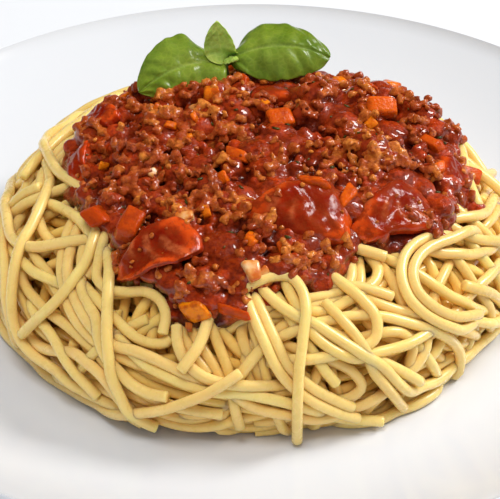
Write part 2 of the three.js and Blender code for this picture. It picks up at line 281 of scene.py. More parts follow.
# Noodles that show in front. Each has its layer, where more is further out, whether its first
# and last end lie free or go in under others, and the picture points that it runs through.
FRONT_NOODLES = [
    (6.2, "in out", [
        (262, 282), (278, 276), (292, 280), (301, 291), (305, 308), (304, 334), (301, 356), (298, 380),
        (297, 410), (297, 441),
    ]),
    (5.2, "in out", [(97, 238), (91, 256), (83, 270), (70, 288), (48, 310), (22, 335)]),
    (5.0, "in out", [
        (103, 240), (100, 260), (97, 276), (104, 286), (118, 291), (134, 292), (148, 292), (159, 299),
        (166, 312), (168, 325), (165, 334),
    ]),
    (4.0, "in out", [
        (76, 280), (88, 292), (104, 308), (122, 325), (138, 338), (152, 344), (163, 343), (171, 338),
    ]),
    (3.6, "in out", [
        (84, 198), (56, 208), (36, 220), (30, 236), (36, 256), (50, 276), (60, 290), (77, 312), (95, 330),
        (122, 346), (145, 357), (161, 364),
    ]),
    (3.0, "in in", [(78, 194), (50, 194), (30, 204), (17, 222), (12, 246), (16, 274), (24, 300), (40, 326)]),
    (2.6, "in in", [(70, 230), (50, 237), (36, 245), (24, 258), (19, 276), (24, 300)]),
    (3.6, "in out", [
        (72, 239), (54, 246), (42, 252), (28, 264), (24, 279), (28, 296), (40, 308), (58, 319), (78, 332),
        (100, 354), (122, 376), (143, 393), (170, 405), (200, 410), (222, 412),
    ]),
    (4.2, "in in", [
        (86, 212), (77, 230), (71, 246), (67, 266), (69, 284), (77, 304), (90, 324), (106, 341), (132, 352),
        (160, 366), (186, 379),
    ]),
    (3.8, "in in", [(77, 212), (69, 232), (64, 254), (64, 276), (70, 300), (81, 322), (98, 342), (120, 356)]),
    (3.4, "in out", [(112, 248), (118, 260), (124, 270), (132, 284)]),
    (2.4, "in in", [(155, 300), (153, 318), (151, 336)]),
    (1.8, "in in", [(127, 294), (124, 310), (122, 322)]),
    (2.0, "in in", [(138, 298), (144, 314), (150, 330)]),
    (4.6, "out in", [(176, 326), (177, 342), (183, 358), (193, 371), (206, 379), (222, 384), (238, 386)]),
    (3.4, "in out", [(183, 328), (190, 344), (199, 358), (211, 373)]),
    (2.6, "in out", [(197, 322), (201, 342), (205, 362)]),
    (3.2, "in in", [(211, 322), (218, 345), (225, 362), (228, 380)]),
    (2.4, "in in", [(220, 322), (232, 342), (248, 356), (263, 366)]),
    (3.6, "in out", [(332, 302), (313, 308), (296, 318), (280, 334), (262, 349), (247, 366), (234, 386)]),
    (3.6, "in in", [
        (350, 262), (355, 274), (350, 286), (336, 296), (316, 302), (296, 302), (276, 304), (262, 310),
    ]),
    (3.8, "in in", [
        (374, 262), (380, 271), (376, 282), (364, 291), (346, 297), (328, 305), (312, 310), (290, 312),
    ]),
    (5.0, "in out", [(350, 246), (366, 252), (385, 258)]),
    (2.2, "in in", [(306, 288), (318, 283), (332, 280), (346, 281)]),
    (3.2, "in in", [(380, 252), (392, 258), (404, 267)]),
    (3.0, "in out", [(380, 262), (388, 278), (396, 294), (404, 308)]),
    (5.4, "in out", [
        (442, 236), (424, 240), (409, 250), (402, 266), (404, 284), (413, 302), (430, 317), (449, 326),
        (464, 328), (472, 322),
    ]),
    (5.8, "in out", [
        (458, 235), (437, 243), (421, 254), (413, 270), (415, 288), (427, 303), (444, 314), (462, 318),
        (479, 317),
    ]),
    (4.8, "in in", [(442, 224), (462, 233), (480, 240), (499, 243)]),
    (4.2, "in in", [(456, 230), (472, 244), (484, 258), (496, 276)]),
    (3.2, "in in", [(430, 249), (450, 259), (470, 269), (492, 281)]),
    (2.4, "in in", [(416, 272), (432, 265), (446, 270), (456, 282), (459, 296)]),
    (4.0, "in in", [(412, 271), (430, 284), (450, 297), (470, 306), (492, 314)]),
    (4.4, "out in", [(463, 286), (478, 291), (496, 298)]),
    (4.8, "in in", [
        (356, 296), (368, 308), (376, 322), (376, 336), (367, 347), (350, 353), (328, 357), (306, 360),
    ]),
    (4.4, "in in", [
        (304, 327), (330, 321), (354, 316), (378, 316), (400, 321), (422, 329), (442, 335), (455, 345),
        (459, 360), (452, 373),
    ]),
    (3.6, "in in", [(364, 297), (388, 307), (414, 315), (440, 323), (464, 331)]),
    (4.2, "in out", [(362, 290), (378, 294), (391, 298)]),
    (3.8, "in in", [(378, 336), (394, 332), (408, 337), (416, 349), (413, 363)]),
    (3.2, "in in", [(441, 334), (436, 348), (424, 360), (406, 372), (390, 386), (374, 400), (360, 413)]),
    (3.8, "in in", [(424, 354), (433, 368), (434, 383), (425, 398), (410, 409), (392, 417), (374, 421)]),
    (4.6, "in out", [(360, 349), (376, 359), (392, 368), (408, 375), (418, 381)]),
    (5.2, "in out", [(360, 344), (370, 358), (379, 373), (389, 389), (402, 408)]),
    (4.0, "in in", [(328, 360), (345, 366), (357, 377), (362, 388), (357, 397), (342, 400)]),
    (2.2, "in in", [(331, 374), (334, 388), (339, 400)]),
    (5.0, "in out", [
        (243, 284), (252, 308), (262, 332), (272, 356), (286, 378), (306, 394), (330, 406), (358, 414),
    ]),
    (4.6, "in out", [(257, 304), (267, 326), (278, 348), (291, 370), (308, 388), (328, 401), (350, 409)]),
    (3.0, "in in", [(251, 316), (257, 345), (262, 372), (273, 404)]),
    (4.0, "in out", [
        (126, 348), (150, 363), (180, 377), (212, 388), (246, 393), (280, 400), (312, 410), (346, 419),
        (383, 423),
    ]),
    (2.0, "in in", [(222, 414), (244, 420), (275, 424), (310, 425), (345, 424)]),
    (3.0, "in in", [(250, 354), (242, 340), (243, 325), (252, 312), (270, 305)]),
    (3.2, "in in", [(304, 347), (330, 338), (350, 339), (364, 350)]),
    (2.0, "out in", [(178, 422), (198, 423), (222, 425), (250, 428)]),
    (4.4, "in out", [(40, 322), (54, 338), (66, 354), (80, 375), (99, 398)]),
    (2.4, "in in", [(22, 338), (48, 354), (72, 366), (94, 374)]),
    (2.8, "in in", [(140, 374), (170, 388), (204, 398), (240, 405), (276, 412)]),
    (2.6, "in in", [(300, 372), (314, 384), (322, 396), (318, 408)]),
    (2.8, "in in", [(392, 352), (404, 344), (420, 346), (432, 354)]),
    (3.0, "in in", [(440, 380), (452, 366), (462, 350), (470, 334)]),
    (2.6, "in in", [(446, 396), (462, 376), (476, 352), (486, 330)]),
    (2.6, "in in", [(470, 300), (474, 318), (468, 340), (456, 356)]),
    (2.8, "in in", [(384, 410), (404, 398), (424, 384), (444, 366)]),
]
# The outline's own layer lies a little proud of it, and each layer more a step further out
OUTLINE_LAYER = 5.0
OUTLINE_LIFT = 1.0
LAYER_STEP = 1.75
# Spacing of the points along a noodle while it is laid down
STEP = 2.5
# Noodles under and behind those: how many, how long, how high over the outline, between which
# azimuths, and how much they lean
WANDERING_LAYERS = [
    (34, 210, -9.0, (0, 360), 0.35),
    (40, 210, -6.4, (0, 360), 0.4),
    (36, 190, -3.8, (0, 360), 0.45),
    (26, 180, -1.4, (0, 178), 0.5),
    (20, 160, 0.6, (4, 172), 0.55),
]
# Way along the outline from the foot to the crown
CLIMB_LENGTH = 58.0
SETTLING_ROUNDS = 90
# Sides of a noodle and the distance between its rings, in each piece
NOODLE_GROUPS = {"noodles_front": (12, 1.5), "noodles_back": (10, 1.9), "noodles_inner": (8, 2.6)}
# Noodles of the layers below this lift hardly show
INNER_LIFT = -5
# The pasta's colour on top, and the deeper gold painted on further in as shade
PALE_PASTA = np.array([0.95, 0.66, 0.225])
PAINTED_SHADE_GOLD_PASTA = np.array([0.93, 0.54, 0.10])


def spaced(stops, step):
    """Points at even steps along a smooth line through the stops."""
    stops = np.asarray(stops, dtype=float)
    ends = np.vstack([2 * stops[0] - stops[1], stops, 2 * stops[-1] - stops[-2]])
    share = np.linspace(0, 1, 12, endpoint=False)[:, None]
    parts = []
    for a, b, c, d in zip(ends, ends[1:], ends[2:], ends[3:]):
        parts.append(
            0.5
            * (
                2 * b
                + (c - a) * share
                + (2 * a - 5 * b + 4 * c - d) * share ** 2
                + (3 * b - a - 3 * c + d) * share ** 3
            )
        )
    fine = np.vstack(parts + [stops[-1:]])
    run = np.concatenate([[0], np.cumsum(np.linalg.norm(np.diff(fine, axis=0), axis=1))])
    marks = np.linspace(0, run[-1], max(4, int(round(run[-1] / step)) + 1))
    return np.stack([np.interp(marks, run, fine[:, k]) for k in range(3)], axis=-1)


def dive(points, step, length=15.0):
    """Carries the last end of a noodle on and down into the nest."""
    heading = unit(points[-1] - points[-3])
    _, normal = nest_skin(points[-1:])
    along = np.arange(step, length, step)[:, None]
    sink = 0.12 * along + 0.035 * along ** 2
    return np.vstack([points, points[-1] + heading * along - normal * sink])


def front_strands():
    """The noodles in the picture, each with its lift and how firmly it holds its place."""
    strands = []
    for layer, ends, stops in FRONT_NOODLES:
        lift = OUTLINE_LIFT - (OUTLINE_LAYER - layer) * LAYER_STEP
        line = spaced([on_nest(u, v, lift) for u, v in stops], STEP)
        first, last = ends.split()
        if last == "in":
            line = dive(line, STEP)
        if first == "in":
            line = dive(line[::-1], STEP)[::-1]
        strands.append((line, lift, 1.0))
    return strands


def wandering_strands(random, count, length, lift, azimuths, lean):
    """Noodles that wind round the nest in loose bends, at one layer."""
    strands = []
    low, high = azimuths
    for k in range(count):
        azimuth = low + (high - low) * ((k * GOLDEN_SHARE + random.uniform(0, 0.02)) % 1.0)
        climb = random.uniform(0.02, 1.12)
        heading = random.normal(0, lean) + (pi if random.random() < 0.4 else 0)
        bend = random.normal(0, 0.012)
        steps = int(random.uniform(0.7, 1.25) * length / STEP)
        wave = random.uniform(0, 2 * pi)
        points = []
        for n in range(steps):
            level = lift + 1.5 * sin(n * STEP / 17 + wave)
            points.append(nest_point(azimuth, climb, level))
            radius = max(30.0, float(np.hypot(*points[-1][:2])))
            bend = 0.92 * bend + random.normal(0, 0.012)
            heading += bend * STEP
            steer = (climb - 0.55) * cos(heading) * (0.05 if 0.05 < climb < 1.05 else 0.35)
            heading -= steer if sin(heading) * (climb - 0.55) > -0.9 else 0
            azimuth += np.degrees(cos(heading) * STEP / radius)
            climb += sin(heading) * STEP / CLIMB_LENGTH
            climb = min(max(climb, 0.0), 1.2)
        line = np.array(points)
        if len(line) > 12:
            strands.append((spaced(line[::3], STEP), lift, 0.15))
    return strands


def near_pairs(points, reach):
    """Pairs of points that lie in the same or neighbouring cells of a grid."""
    cells = np.floor(points / reach).astype(np.int64)
    cells -= cells.min(axis=0) - 1
    size = cells.max(axis=0) + 2
    key = (cells[:, 0] * size[1] + cells[:, 1]) * size[2] + cells[:, 2]
    order = np.argsort(key, kind="stable")
    ranked = key[order]
    everyone = np.arange(len(points))
    pairs = []
    for dx in (-1, 0, 1):
        for dy in (-1, 0, 1):
            for dz in (-1, 0, 1):
                shift = (dx * size[1] + dy) * size[2] + dz
                if shift < 0:
                    continue
                start = np.searchsorted(ranked, key + shift, "left")
                count = np.searchsorted(ranked, key + shift, "right") - start
                first = np.repeat(everyone, count)
                offset = np.arange(count.sum()) - np.repeat(np.cumsum(count) - count, count)
                second = order[np.repeat(start, count) + offset]
                keep = first < second if shift == 0 else np.ones(len(first), bool)
                pairs.append(np.stack([first[keep], second[keep]]))
    first, second = np.concatenate(pairs, axis=1)
    close = ((points[first] - points[second]) ** 2).sum(axis=1) < reach * reach
    return first[close], second[close]


def closest_shares(p, dp, q, dq):
    """How far along two short segments each comes closest to the other."""
    gap = p - q
    a = (dp * dp).sum(axis=1)
    b = (dp * dq).sum(axis=1)
    c = (dq * dq).sum(axis=1)
    d = (dp * gap).sum(axis=1)
    e = (dq * gap).sum(axis=1)
    flat = np.maximum(a * c - b * b, 1e-6 * a * c)
    s = np.clip((b * e - c * d) / flat, 0, 1)
    t = np.clip((b * s + e) / c, 0, 1)
    s = np.clip((b * t - d) / a, 0, 1)
    return s, t


def settle(strands, rounds):
    """Lays the noodles on each other: none passes through its neighbours, plate or core."""
    lines = [line for line, _, _ in strands]
    sizes = np.array([len(line) for line in lines])
    spots = np.concatenate(lines)
    start = spots.copy()
    strand = np.repeat(np.arange(len(lines)), sizes)
    lift = np.repeat([s[1] for s in strands], sizes)
    hold = np.repeat([s[2] for s in strands], sizes)[:, None]
    depth, _ = nest_skin(start)
    wanted = np.minimum(depth, lift + 2.5)
    inner = strand[:-1] == strand[1:]
    head = np.nonzero(inner)[0]
    has_before = np.concatenate([[False], inner])
    has_after = np.concatenate([inner, [False]])
    both = np.nonzero(has_before & has_after)[0]
    ends = np.nonzero(has_before ^ has_after)[0]
    beside = np.where(has_before[ends], ends - 1, ends + 1)
    total = len(spots)
    for n in range(rounds):
        # Each point is drawn to its own depth and back to where it started
        depth, normal = nest_skin(spots)
        pull = np.clip((wanted - depth) * 0.25, -0.3, 0.3)
        spots += normal * pull[:, None]
        back = start - spots
        back -= normal * (back * normal).sum(axis=1)[:, None]
        spots += back * 0.12 * hold
        # Now and then, the pieces of noodle that are near each other are looked up again
        if n % 6 == 0:
            middles = (spots[head] + spots[head + 1]) / 2
            one, two = near_pairs(middles, NOODLE_DIAMETER + STEP + 0.8)
            same = strand[head[one]] == strand[head[two]]
            apart = ~same | (np.abs(head[one] - head[two]) > 4)
            one, two = head[one[apart]], head[two[apart]]
        # Those that touch are pushed apart, the one of the higher layer outwards
        dp = spots[one + 1] - spots[one]
        dq = spots[two + 1] - spots[two]
        s, t = closest_shares(spots[one], dp, spots[two], dq)
        gap = spots[one] + dp * s[:, None] - spots[two] - dq * t[:, None]
        far = np.sqrt((gap ** 2).sum(axis=1)) + 1e-6
        touch = far < NOODLE_DIAMETER
        i, j, s, t, gap, far = one[touch], two[touch], s[touch], t[touch], gap[touch], far[touch]
        way = gap / far[:, None]
        order = np.clip((lift[i] - lift[j]) / 1.5, -1, 1)[:, None]
        out = normal[i] + normal[j]
        out /= np.linalg.norm(out, axis=1)[:, None] + 1e-6
        level = (way * out).sum(axis=1)[:, None]
        way = way + out * (0.7 * order - 0.35 * level * (np.abs(order) > 0.2))
        way /= np.linalg.norm(way, axis=1)[:, None] + 1e-6
        push = way * ((NOODLE_DIAMETER - far) * 0.32)[:, None]
        move = np.zeros_like(spots)
        weight = np.full(total, 1e-6)
        for index, share, side in ((i, 1 - s, 1), (i + 1, s, 1), (j, 1 - t, -1), (j + 1, t, -1)):
            for axis in range(3):
                move[:, axis] += np.bincount(index, push[:, axis] * share * side, total)
            weight += np.bincount(index, share, total)
        spots += move / np.maximum(weight, 1)[:, None] * 1.6
        # The move is evened out along each noodle, and none sinks into the plate
        shift = spots - start
        calm = shift.copy()
        calm[both] = (shift[both - 1] + shift[both + 1]) / 2
        calm[ends] = shift[beside]
        spots = start + shift + (calm - shift) * 0.45
        radius = np.hypot(spots[:, 0], spots[:, 1])
        spots[:, 2] = np.maximum(spots[:, 2], plate_top(radius) + NOODLE_RADIUS)
    return np.split(spots, np.cumsum(sizes)[:-1])


CUT_BEVEL = 0.25


def tube(line, radius, sides):
    """A round noodle with flat cut ends along a line."""
    ahead = np.gradient(line, axis=0)
    ahead /= np.linalg.norm(ahead, axis=1)[:, None]
    side = np.cross(ahead[0], [0.0, 0.0, 1.0])
    if np.linalg.norm(side) < 0.1:
        side = np.cross(ahead[0], [1.0, 0.0, 0.0])
    across = []
    for direction in ahead:
        side = unit(side - direction * side.dot(direction))
        across.append(side)
    across = np.array(across)
    upward = np.cross(ahead, across)
    turns = 2 * pi * np.arange(sides) / sides
    ring = across[:, None] * np.cos(turns)[None, :, None]
    ring = ring + upward[:, None] * np.sin(turns)[None, :, None]
    points = (line[:, None] + ring * radius).reshape(-1, 3)
    caps = []
    for end, sign in ((0, -1), (-1, 1)):
        caps.append(line[end] + ahead[end] * sign * CUT_BEVEL + ring[end] * (radius - CUT_BEVEL))
    points = np.vstack([points, caps[0], caps[1]])
    rings = len(line)
    around = np.arange(sides)
    after = (around + 1) % sides
    faces = []
    for a in range(rings - 1):
        b = a + 1
        quad = np.stack([a * sides + around, a * sides + after, b * sides + after, b * sides + around], 1)
        faces.extend(quad.tolist())
    first, last = rings * sides, (rings + 1) * sides
    faces.extend(np.stack([first + around, first + after, after, around], 1).tolist())
    tail = (rings - 1) * sides
    faces.extend(np.stack([tail + around, tail + after, last + after, last + around], 1).tolist())
    faces.append((first + around[::-1]).tolist())
    faces.append((last + around).tolist())
    return points, faces


# Materials

class Finish:
    """A material in the making, and the patterns that it is built from."""

    def __init__(self, name):
        self.material = bpy.data.materials.new(name)
        self.material.use_nodes = True
        self.nodes = self.material.node_tree.nodes
        self.links = self.material.node_tree.links
        self.shader = self.nodes["Principled BSDF"]
        self.place = self.nodes.new("ShaderNodeTexCoord").outputs["Object"]

    def tone(self):
        """The colours that are painted on the piece's points."""
        tone = self.nodes.new("ShaderNodeAttribute")
        tone.attribute_name = "tone"
        return tone.outputs["Color"]

    def noise(self, scale, detail=3.0, roughness=0.5):
        texture = self.nodes.new("ShaderNodeTexNoise")
        texture.inputs["Scale"].default_value = scale
        texture.inputs["Detail"].default_value = detail
        texture.inputs["Roughness"].default_value = roughness
        self.links.new(self.place, texture.inputs["Vector"])
        return texture.outputs["Fac"]

    def cells(self, scale):
        """How far a place is from the nearest wall of a net of cells."""
        texture = self.nodes.new("ShaderNodeTexVoronoi")
        texture.feature = "DISTANCE_TO_EDGE"
        texture.inputs["Scale"].default_value = scale
        self.links.new(self.place, texture.inputs["Vector"])
        return texture.outputs["Distance"]

    def ramp(self, pattern, *stops):
        """Colours along a pattern. A stop's colour may be one number, for a grey."""
        ramp = self.nodes.new("ShaderNodeValToRGB")
        elements = ramp.color_ramp.elements
        while len(elements) < len(stops):
            elements.new(0.5)
        for element, (position, colour) in zip(elements, stops):
            element.position = position
            element.color = (*colour, 1) if isinstance(colour, tuple) else (colour, colour, colour, 1)
        self.links.new(pattern, ramp.inputs["Fac"])
        return ramp.outputs["Color"]

    def mix(self, share, first, second, blend="MIX"):
        mix = self.nodes.new("ShaderNodeMix")
        mix.data_type = "RGBA"
        mix.blend_type = blend
        for socket, value in ((mix.inputs[0], share), (mix.inputs[6], first), (mix.inputs[7], second)):
            if isinstance(value, bpy.types.NodeSocket):
                self.links.new(value, socket)
            elif isinstance(value, tuple):
                socket.default_value = (*value, 1)
            else:
                socket.default_value = value
        return mix.outputs[2]

    def times(self, first, second):
        return self.mix(1.0, first, second, "MULTIPLY")

    def show(self, socket, value):
        self.links.new(value, self.shader.inputs[socket])

    def bump(self, socket, height, strength, distance):
        bump = self.nodes.new("ShaderNodeBump")
        bump.inputs["Strength"].default_value = strength
        bump.inputs["Distance"].default_value = distance
        self.links.new(height, bump.inputs["Height"])
        self.show(socket, bump.outputs["Normal"])

    def glow(self, weight, radius, scale):
        """How much light goes on inside, and how far it gets, by colour."""
        self.shader.inputs["Subsurface Weight"].default_value = weight
        self.shader.inputs["Subsurface Radius"].default_value = radius
        self.shader.inputs["Subsurface Scale"].default_value = scale

    def coat(self, weight, roughness):
        """A wet or glazed film on top."""
        self.shader.inputs["Coat Weight"].default_value = weight
        self.shader.inputs["Coat Roughness"].default_value = roughness

    def even(self, socket, value):
        """The same value all over."""
        self.shader.inputs[socket].default_value = value


def pasta_material():
    pasta = Finish("boiled_pasta")
    tone = pasta.tone()
    patches = pasta.ramp(pasta.noise(160.0), (0.3, (0.92, 0.9, 0.86)), (0.7, (1, 1, 1)))
    pasta.show("Base Color", pasta.times(tone, patches))
    pasta.show("Roughness", pasta.ramp(pasta.noise(420.0, 2.0), (0.35, 0.24), (0.7, 0.38)))
    pasta.bump("Normal", pasta.noise(900.0, 2.0), 0.08, 0.0003)
    pasta.glow(0.65, (0.7, 0.9, 0.6), 0.0025)
    pasta.even("IOR", 1.42)
    pasta.coat(0.35, 0.14)
    return pasta.material


def glaze_material():
    glaze = Finish("white_glaze")
    cloud = glaze.noise(18.0, 2.0)
    glaze.show("Base Color", glaze.ramp(cloud, (0.3, (0.70, 0.715, 0.745)), (0.75, (0.725, 0.74, 0.765))))
    glaze.bump("Normal", glaze.noise(55.0, 1.0), 0.05, 0.0006)
    glaze.even("Roughness", 0.22)
    glaze.coat(0.4, 0.08)
    return glaze.material


def ragu_material():
    ragu = Finish("tomato_sauce")
    tone = ragu.tone()
    specks = ragu.noise(900.0, 4.0, 0.6)
    shade = ragu.ramp(specks, (0.34, (0.62, 0.5, 0.45)), (0.52, (1, 1, 1)), (0.68, (1.25, 1.6, 1.4)))
    ragu.show("Base Color", ragu.times(tone, shade))
    film = ragu.noise(330.0, 2.0)
    ragu.show("Roughness", ragu.ramp(film, (0.35, 0.22), (0.65, 0.45)))
    ragu.bump("Normal", ragu.noise(520.0, 5.0, 0.62), 0.7, 0.001)
    ragu.bump("Coat Normal", film, 0.7, 0.0008)
    ragu.even("Specular IOR Level", 0.25)
    ragu.glow(0.12, (1.0, 0.25, 0.1), 0.0016)
    ragu.coat(0.85, 0.05)
    return ragu.material


def mince_material():
    mince = Finish("browned_mince")
    tone = mince.tone()
    specks = mince.noise(1100.0, 4.0, 0.6)
    shade = mince.ramp(specks, (0.34, (0.58, 0.42, 0.36)), (0.54, (1, 1, 1)), (0.7, (1.15, 1.3, 1.3)))
    grained = mince.times(tone, shade)
    film = mince.noise(260.0, 3.0)
    cover = mince.ramp(film, (0.45, 0), (0.62, 0.75))
    mince.show("Base Color", mince.mix(cover, grained, (0.36, 0.042, 0.004)))
    mince.show("Roughness", mince.ramp(film, (0.4, 0.55), (0.62, 0.3)))
    mince.bump("Normal", mince.noise(700.0, 5.0, 0.65), 0.9, 0.0009)
    mince.bump("Coat Normal", film, 0.6, 0.0008)
    mince.even("Specular IOR Level", 0.25)
    mince.glow(0.1, (1.0, 0.4, 0.2), 0.0012)
    mince.coat(0.7, 0.08)
    return mince.material


def carrot_material():
    """Orange to yellow by the red of the painted colour, under a thin film of sauce."""
    carrot = Finish("cooked_carrot")
    split = carrot.nodes.new("ShaderNodeSeparateColor")
    carrot.links.new(carrot.tone(), split.inputs["Color"])
    deep, orange, yellow = (0.36, 0.024, 0.002), (0.68, 0.105, 0.003), (0.82, 0.23, 0.004)
    hue = carrot.ramp(split.outputs["Red"], (0.02, deep), (0.5, orange), (0.95, yellow))
    cover = carrot.ramp(carrot.noise(420.0, 3.0), (0.47, 0), (0.64, 0.7))
    carrot.show("Base Color", carrot.mix(cover, hue, (0.33, 0.034, 0.004)))
    carrot.bump("Normal", carrot.noise(1300.0, 2.0), 0.5, 0.0006)
    carrot.even("Roughness", 0.3)
    carrot.glow(0.4, (1.0, 0.35, 0.1), 0.002)
    carrot.even("Specular IOR Level", 0.15)
    carrot.coat(0.15, 0.12)
    return carrot.material


def tomato_material():
    tomato = Finish("tomato_flesh_and_skin")
    film = tomato.noise(330.0, 5.0, 0.66)
    cover = tomato.ramp(film, (0.44, 0), (0.58, 0.85))
    tomato.show("Base Color", tomato.mix(cover, tomato.tone(), (0.25, 0.024, 0.003)))
    tomato.show("Roughness", tomato.ramp(film, (0.4, 0.22), (0.62, 0.5)))
    tomato.bump("Normal", tomato.noise(420.0, 5.0, 0.6), 0.5, 0.0009)
    tomato.bump("Coat Normal", film, 0.4, 0.0007)
    tomato.glow(0.25, (1.0, 0.2, 0.08), 0.0025)
    tomato.even("Specular IOR Level", 0.05)
    tomato.coat(0.65, 0.05)
    return tomato.material


def onion_material():
    onion = Finish("soft_onion")
    sauced, stained, clear = (0.58, 0.13, 0.015), (0.74, 0.31, 0.08), (0.82, 0.54, 0.28)
    shade = onion.ramp(onion.noise(190.0, 3.0), (0.4, sauced), (0.52, stained), (0.64, clear))
    onion.show("Base Color", shade)
    onion.bump("Normal", onion.noise(1500.0, 2.0), 0.25, 0.0003)
    onion.even("Roughness", 0.25)
    onion.glow(0.35, (1.0, 0.6, 0.35), 0.0015)
    onion.coat(0.3, 0.12)
    return onion.material


def herb_material():
    herb = Finish("cooked_herbs")
    fleck = herb.noise(500.0, 2.0)
    herb.show("Base Color", herb.ramp(fleck, (0.38, (0.035, 0.034, 0.006)), (0.64, (0.11, 0.105, 0.014))))
    herb.bump("Normal", fleck, 0.3, 0.0003)
    herb.even("Roughness", 0.4)
    herb.even("Coat Weight", 0.3)
    return herb.material


def basil_material():
    """A net of small cells over patches of lighter and deeper green."""
    basil = Finish("basil_leaf_blade")
    cells = basil.cells(620.0)
    net = basil.ramp(cells, (0.0, (1.22, 1.15, 1.3)), (0.14, (1, 1, 1)))
    mottle = basil.ramp(basil.noise(160.0, 2.0), (0.35, (0.70, 0.76, 0.66)), (0.68, (1.04, 1.0, 0.92)))
    basil.show("Base Color", basil.times(basil.times(basil.tone(), net), mottle))
    basil.bump("Normal", cells, 0.25, 0.0004)
    basil.even("Roughness", 0.36)
    basil.even("Specular IOR Level", 0.3)
    basil.glow(0.3, (0.5, 1.0, 0.12), 0.0012)
    basil.coat(0.25, 0.16)
    return basil.material


def stem_material():
    stem = Finish("basil_stem_skin")
    streak = stem.noise(300.0, 2.0)
    stem.show("Base Color", stem.ramp(streak, (0.35, (0.15, 0.27, 0.04)), (0.65, (0.32, 0.46, 0.12))))
    stem.bump("Normal", streak, 0.2, 0.0003)
    stem.even("Roughness", 0.4)
    stem.even("Subsurface Weight", 0.2)
    stem.even("Subsurface Scale", 0.001)
    return stem.material


def board_material():
    board = Finish("pale_board")
    cloud = board.noise(3.0)
    board.show("Base Color", board.ramp(cloud, (0.3, (0.74, 0.745, 0.76)), (0.7, (0.78, 0.785, 0.80))))
    board.even("Roughness", 0.7)
    return board.material


# Plate

def plate_outline():
    """Radii and heights from the middle of the well, over the rim and back under to the foot ring."""
    under = WELL_FLOOR - PLATE_WALL
    lip = PLATE_WALL * 0.3
    wall = [WELL_RADIUS + (PLATE_RADIUS - lip * 1.6 - WELL_RADIUS) * k / 14 for k in range(15)]
    profile = [(8.0, WELL_FLOOR), (40.0, WELL_FLOOR)]
    profile += [(radius, float(plate_top(radius))) for radius in wall]
    profile += [
        (PLATE_RADIUS - lip * 0.9, PLATE_HEIGHT),
        (PLATE_RADIUS - lip * 0.25, PLATE_HEIGHT - lip * 0.4),
        (PLATE_RADIUS, PLATE_HEIGHT - lip * 1.2),
        (PLATE_RADIUS - lip * 0.6, PLATE_HEIGHT - lip * 2.2),
    ]
    for radius in wall[-2:1:-1]:
        profile.append((radius + 1.6, under + float(plate_top(radius) - WELL_FLOOR) * 0.97))
    profile += [
        (FOOT_RADIUS + FOOT_WIDTH, under + 0.1),
        (FOOT_RADIUS + FOOT_WIDTH - 0.5, 0.4),
        (FOOT_RADIUS + FOOT_WIDTH - 1.2, 0.0),
        (FOOT_RADIUS + 0.2, 0.0),
        (FOOT_RADIUS - 0.5, 0.4),
        (FOOT_RADIUS - 1.0, under),
        (20.0, under),
    ]
    return profile


def make_plate(material):
    """The plate, drawn out ring by ring along its outline, and closed underneath."""
    profile = plate_outline()
    deselect()
    bpy.ops.mesh.primitive_circle_add(
        vertices=160, radius=profile[0][0] * MM, fill_type="TRIFAN", location=(0, 0, profile[0][1] * MM)
    )
    plate = bpy.context.object
    plate.name = plate.data.name = "glazed_plate"
    bpy.ops.object.transform_apply(location=True)
    bpy.ops.object.mode_set(mode="EDIT")
    bpy.ops.mesh.select_all(action="DESELECT")
    bpy.ops.object.mode_set(mode="OBJECT")
    for vertex in plate.data.vertices:
        vertex.select = vertex.co.xy.length > profile[0][0] * MM * 0.9
    for edge in plate.data.edges:
        edge.select = all(plate.data.vertices[v].select for v in edge.vertices)
    bpy.ops.object.mode_set(mode="EDIT")
    bpy.ops.mesh.select_mode(type="EDGE")
    for (r0, z0), (r1, z1) in zip(profile, profile[1:]):
        bpy.ops.mesh.extrude_edges_move()
        bpy.ops.transform.resize(value=(r1 / r0, r1 / r0, 1), center_override=(0, 0, 0))
        bpy.ops.transform.translate(value=(0, 0, (z1 - z0) * MM))
    bpy.ops.mesh.edge_face_add()
    bpy.ops.mesh.poke()
    bpy.ops.object.mode_set(mode="OBJECT")
    face_outward(plate)
    plate.data.materials.append(material)
    bpy.ops.object.shade_smooth_by_angle(angle=radians(50))
    return plate


# Spaghetti

def noodle_tone_and_painted_shade(line, strand_tint):
    """Colour along a noodle: paler on top of the nest, deeper gold further in as painted shade between the
    noodles.
    """
    depth, _ = nest_skin(line)
    # Painted shade: the deeper a point lies in the nest, the more it takes the shaded gold
    inside = smoothstep((0.5 - depth) / 7.5)[:, None]
    return (PALE_PASTA * (1 - inside) + PAINTED_SHADE_GOLD_PASTA * inside) * strand_tint


def make_noodles(material):
    """All noodles, settled on each other, in three pieces by where they lie."""
    random = np.random.default_rng(11)
    strands = []
    for layer in WANDERING_LAYERS:
        strands += wandering_strands(random, *layer)
    hidden = len(strands)
    strands += front_strands()
    lines = settle(strands, SETTLING_ROUNDS)
    groups = {name: Parts() for name in NOODLE_GROUPS}
    for n, line in enumerate(lines):
        if strands[n][1] < INNER_LIFT:
            group = "noodles_inner"
        elif n >= hidden or line[len(line) // 2][1] < 0:
            group = "noodles_front"
        else:
            group = "noodles_back"
        sides, step = NOODLE_GROUPS[group]
        smooth = spaced(line[::2] if len(line) % 2 else np.vstack([line[::2], line[-1:]]), step)
        size = NOODLE_RADIUS * random.uniform(0.96, 1.05)
        points, faces = tube(smooth, size, sides)
        tint = 1 + random.normal(0, 0.035) + random.normal(0, 0.015, 3)
        tone = noodle_tone_and_painted_shade(smooth, tint)
        groups[group].add(points, faces)
        groups[group].tones += [np.repeat(tone, sides, axis=0), np.repeat(tone[[0, -1]], sides, axis=0)]
    return [parts.make(name, material) for name, parts in groups.items()]


# Sauce

# Tongues and bays of the sauce's edge: azimuth of the middle, how far out it runs, and its width
SAUCE_BAYS = [(251, 10.5, 21), (5, 6, 45), (300, -5.5, 17), (203, -3, 22)]
